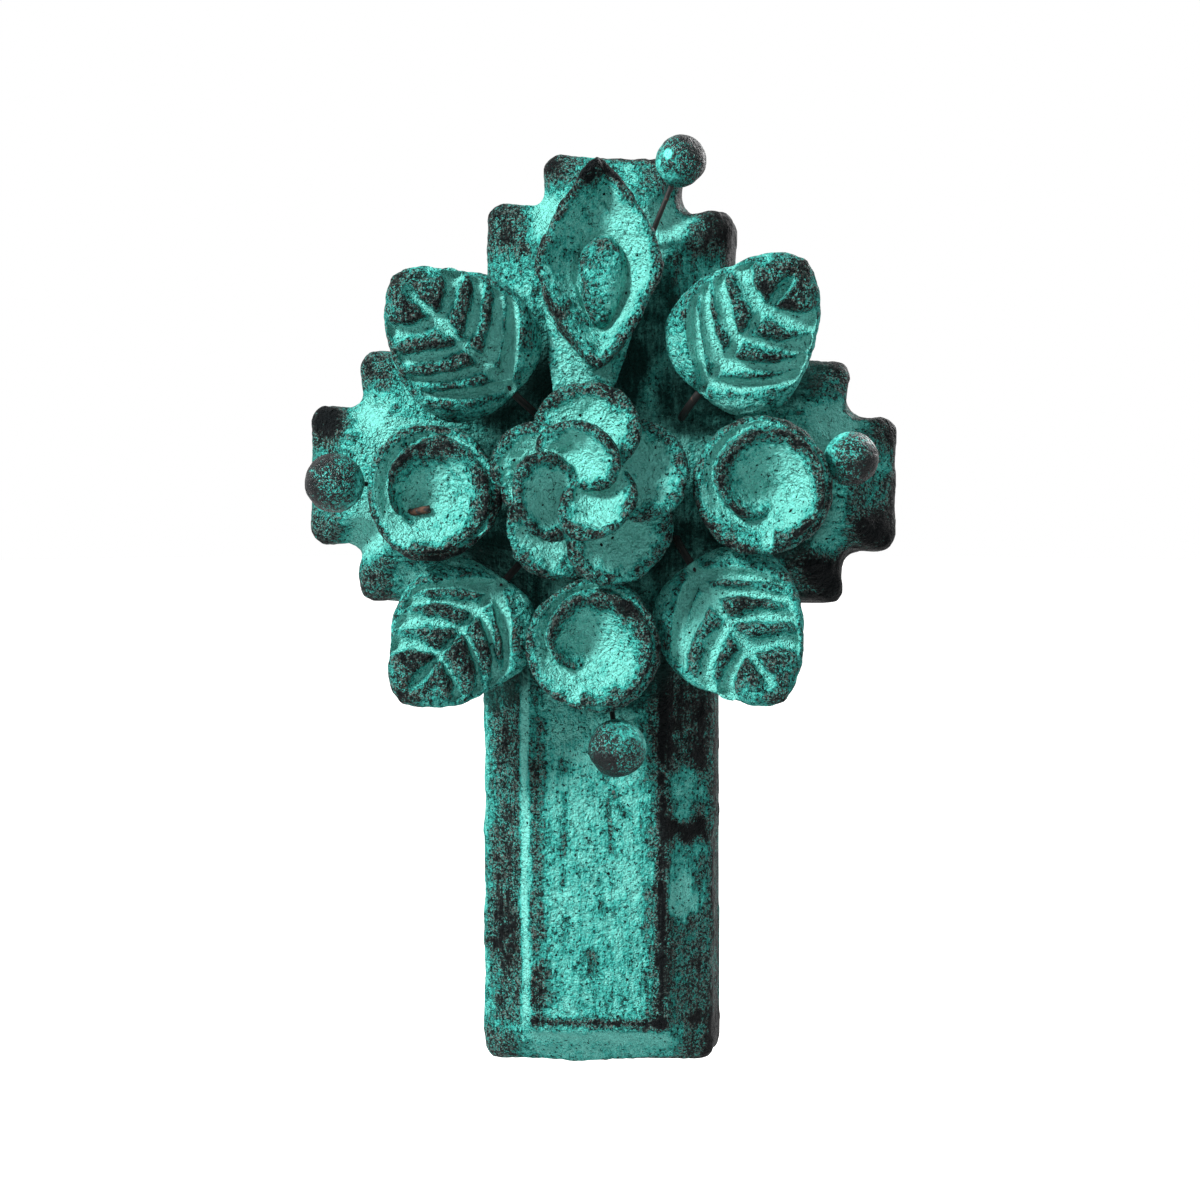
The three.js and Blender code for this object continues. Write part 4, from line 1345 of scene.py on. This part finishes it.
class WallCrossRolled(bpy.types.PropertyGroup):
    radius: bpy.props.FloatProperty(
        name="Radius", description="Radius of the outer rim", default=0.0123, unit="LENGTH"
    )
    height: bpy.props.FloatProperty(
        name="Height", description="Height from the back to the rim", default=0.0114, unit="LENGTH"
    )
    pit: bpy.props.FloatProperty(
        name="Pit", description="Height of the pit's floor", default=0.0044, unit="LENGTH"
    )
    lip: bpy.props.FloatProperty(
        name="Lip", description="How far the rolled lip stands up", default=0.003, unit="LENGTH"
    )


class WallCrossLily(bpy.types.PropertyGroup):
    width: bpy.props.FloatProperty(
        name="Width", description="Width of the mouth", default=LILY_WIDTH, unit="LENGTH"
    )
    height: bpy.props.FloatProperty(
        name="Height", description="Height of the mouth", default=LILY_HEIGHT, unit="LENGTH"
    )


class WallCrossRose(bpy.types.PropertyGroup):
    petal_thickness: bpy.props.FloatProperty(
        name="Petal Thickness", description="Thickness of a petal", default=0.0031, unit="LENGTH"
    )


class WallCrossWire(bpy.types.PropertyGroup):
    stalk_radius: bpy.props.FloatProperty(
        name="Stalk Radius", description="Radius of the flower and leaf wires", default=0.00075, unit="LENGTH"
    )
    berry_radius: bpy.props.FloatProperty(
        name="Berry Radius", description="Radius of the berry wires", default=0.0005, unit="LENGTH"
    )


class WallCrossFinish(bpy.types.PropertyGroup):
    paint: bpy.props.FloatVectorProperty(
        name="Paint", description="Turquoise where it lies thick", subtype="COLOR",
        default=CLAY_COLOURS["Paint"],
    )
    thin_paint: bpy.props.FloatVectorProperty(
        name="Thin Paint", description="Turquoise where it is thin", subtype="COLOR",
        default=CLAY_COLOURS["Thin Paint"],
    )
    stain: bpy.props.FloatVectorProperty(
        name="Stain", description="Clay stained by paint", subtype="COLOR", default=CLAY_COLOURS["Stain"]
    )
    clay: bpy.props.FloatVectorProperty(
        name="Clay", description="Fired clay, nearly black", subtype="COLOR", default=CLAY_COLOURS["Clay"]
    )
    rubbed_clay: bpy.props.FloatVectorProperty(
        name="Rubbed Clay", description="Clay with paint dust rubbed in", subtype="COLOR",
        default=CLAY_COLOURS["Rubbed Clay"],
    )
    brown_clay: bpy.props.FloatVectorProperty(
        name="Brown Clay", description="Clay where it fired brown", subtype="COLOR",
        default=CLAY_COLOURS["Brown Clay"],
    )
    iron: bpy.props.FloatVectorProperty(
        name="Iron", description="Bare wire", subtype="COLOR", default=(0.018, 0.018, 0.018)
    )
    rust: bpy.props.FloatVectorProperty(
        name="Rust", description="Rust on the wire", subtype="COLOR", default=(0.07, 0.03, 0.016)
    )


class WallCrossStage(bpy.types.PropertyGroup):
    azimuth: bpy.props.FloatProperty(
        name="Azimuth", description="Camera angle round the cross", default=math.radians(4), subtype="ANGLE"
    )
    elevation: bpy.props.FloatProperty(
        name="Elevation", description="Camera angle above level", default=math.radians(4.3), subtype="ANGLE"
    )
    distance: bpy.props.FloatProperty(
        name="Distance", description="Camera distance", default=0.32, unit="LENGTH"
    )
    look_at: bpy.props.FloatVectorProperty(
        name="Look At", description="Point the camera faces", default=(-0.0005, -0.008, -0.024),
        subtype="TRANSLATION",
    )
    lens: bpy.props.FloatProperty(name="Lens", description="Focal length in millimetres", default=48)
    key: bpy.props.FloatProperty(
        name="Key Light", description="Power of the key light", default=27, unit="POWER"
    )
    fill: bpy.props.FloatProperty(
        name="Fill", description="Strength of the light from all round", default=0.75
    )
    floor: bpy.props.FloatProperty(
        name="Floor", description="Height of the floor", default=-0.3, unit="LENGTH"
    )


# Operators


class WALLCROSS_OT_stage(bpy.types.Operator):
    """Floor, soft studio lights and camera"""

    bl_idname = "wallcross.stage"
    bl_label = "Stage"

    def execute(self, context):
        props = context.scene.wallcross_stage
        context.scene.view_settings.view_transform = "Standard"
        set_camera(props)
        light_world(props.fill)
        for name, (spot, size, share, tint) in SOFT_BOXES.items():
            soft_light(name, spot, props.look_at, size, share * props.key, tint)
        model_floor(props.floor)
        return {"FINISHED"}


class WALLCROSS_OT_body(bpy.types.Operator):
    """Cross body with stepped arm ends, bevels and a raised panel"""

    bl_idname = "wallcross.body"
    bl_label = "Cross Body"

    def execute(self, context):
        model_body(context.scene.wallcross_body)
        return {"FINISHED"}


class WALLCROSS_OT_leaves(bpy.types.Operator):
    """Four veined leaves"""

    bl_idname = "wallcross.leaves"
    bl_label = "Leaves"

    def execute(self, context):
        for seed, (name, foot, heading, size) in enumerate(LEAVES):
            model_leaf(name, foot, heading, size, context.scene.wallcross_leaf, 11 + seed)
        return {"FINISHED"}


class WALLCROSS_OT_rolled_flowers(bpy.types.Operator):
    """Three rolled flowers"""

    bl_idname = "wallcross.rolled_flowers"
    bl_label = "Rolled Flowers"

    def execute(self, context):
        for seed, (name, centre, size, start, pit) in enumerate(ROLLED):
            model_rolled_flower(name, centre, size, start, pit, context.scene.wallcross_rolled, seed)
        return {"FINISHED"}


class WALLCROSS_OT_calla_lily(bpy.types.Operator):
    """Calla lily with its spadix"""

    bl_idname = "wallcross.calla_lily"
    bl_label = "Calla Lily"

    def execute(self, context):
        model_lily(context.scene.wallcross_lily)
        return {"FINISHED"}


class WALLCROSS_OT_rose(bpy.types.Operator):
    """Rose in the middle of the cross"""

    bl_idname = "wallcross.rose"
    bl_label = "Rose"

    def execute(self, context):
        model_rose(context.scene.wallcross_rose)
        return {"FINISHED"}


class WALLCROSS_OT_berries(bpy.types.Operator):
    """Four berries"""

    bl_idname = "wallcross.berries"
    bl_label = "Berries"

    def execute(self, context):
        for name, centre, radius, _, painted_side, worn in BERRIES:
            model_berry(name, centre, radius, painted_side, worn)
        return {"FINISHED"}


class WALLCROSS_OT_wires(bpy.types.Operator):
    """Iron wires that hold the flowers, leaves and berries"""

    bl_idname = "wallcross.wires"
    bl_label = "Wires"

    def execute(self, context):
        props = context.scene.wallcross_wire
        for node, points in wire_routes():
            radius = props.berry_radius if "berry" in node else props.stalk_radius
            model_wire(node, points, radius, wire_finish(node == "left_rolled_flower_wire"))
        return {"FINISHED"}


OPERATORS = (
    WALLCROSS_OT_stage, WALLCROSS_OT_body, WALLCROSS_OT_leaves, WALLCROSS_OT_rolled_flowers,
    WALLCROSS_OT_calla_lily, WALLCROSS_OT_rose, WALLCROSS_OT_berries, WALLCROSS_OT_wires,
)
SETTINGS = {
    "wallcross_body": WallCrossBody,
    "wallcross_leaf": WallCrossLeaf,
    "wallcross_rolled": WallCrossRolled,
    "wallcross_lily": WallCrossLily,
    "wallcross_rose": WallCrossRose,
    "wallcross_wire": WallCrossWire,
    "wallcross_finish": WallCrossFinish,
    "wallcross_stage": WallCrossStage,
}


class WALLCROSS_PT_panel(bpy.types.Panel):
    """Settings and pieces of the wall cross"""

    bl_idname = "WALLCROSS_PT_panel"
    bl_label = "Wall Cross"
    bl_space_type = "VIEW_3D"
    bl_region_type = "UI"
    bl_category = "Wall Cross"

    def draw(self, context):
        layout = self.layout
        for key, group in SETTINGS.items():
            box = layout.box()
            settings = getattr(context.scene, key)
            for prop in group.__annotations__:
                box.prop(settings, prop)
        for operator in OPERATORS:
            layout.operator(operator.bl_idname)


def register():
    """Registers the settings, the operators and the panel."""
    for key, group in SETTINGS.items():
        bpy.utils.register_class(group)
        setattr(bpy.types.Scene, key, bpy.props.PointerProperty(type=group))
    for cls in (*OPERATORS, WALLCROSS_PT_panel):
        bpy.utils.register_class(cls)


def unregister():
    """Removes what register added."""
    for cls in (WALLCROSS_PT_panel, *reversed(OPERATORS)):
        bpy.utils.unregister_class(cls)
    for key, group in SETTINGS.items():
        delattr(bpy.types.Scene, key)
        bpy.utils.unregister_class(group)


def main():
    register()
    for operator in OPERATORS:
        group, name = operator.bl_idname.split(".")
        getattr(getattr(bpy.ops, group), name)()


if __name__ == "__main__":
    main()
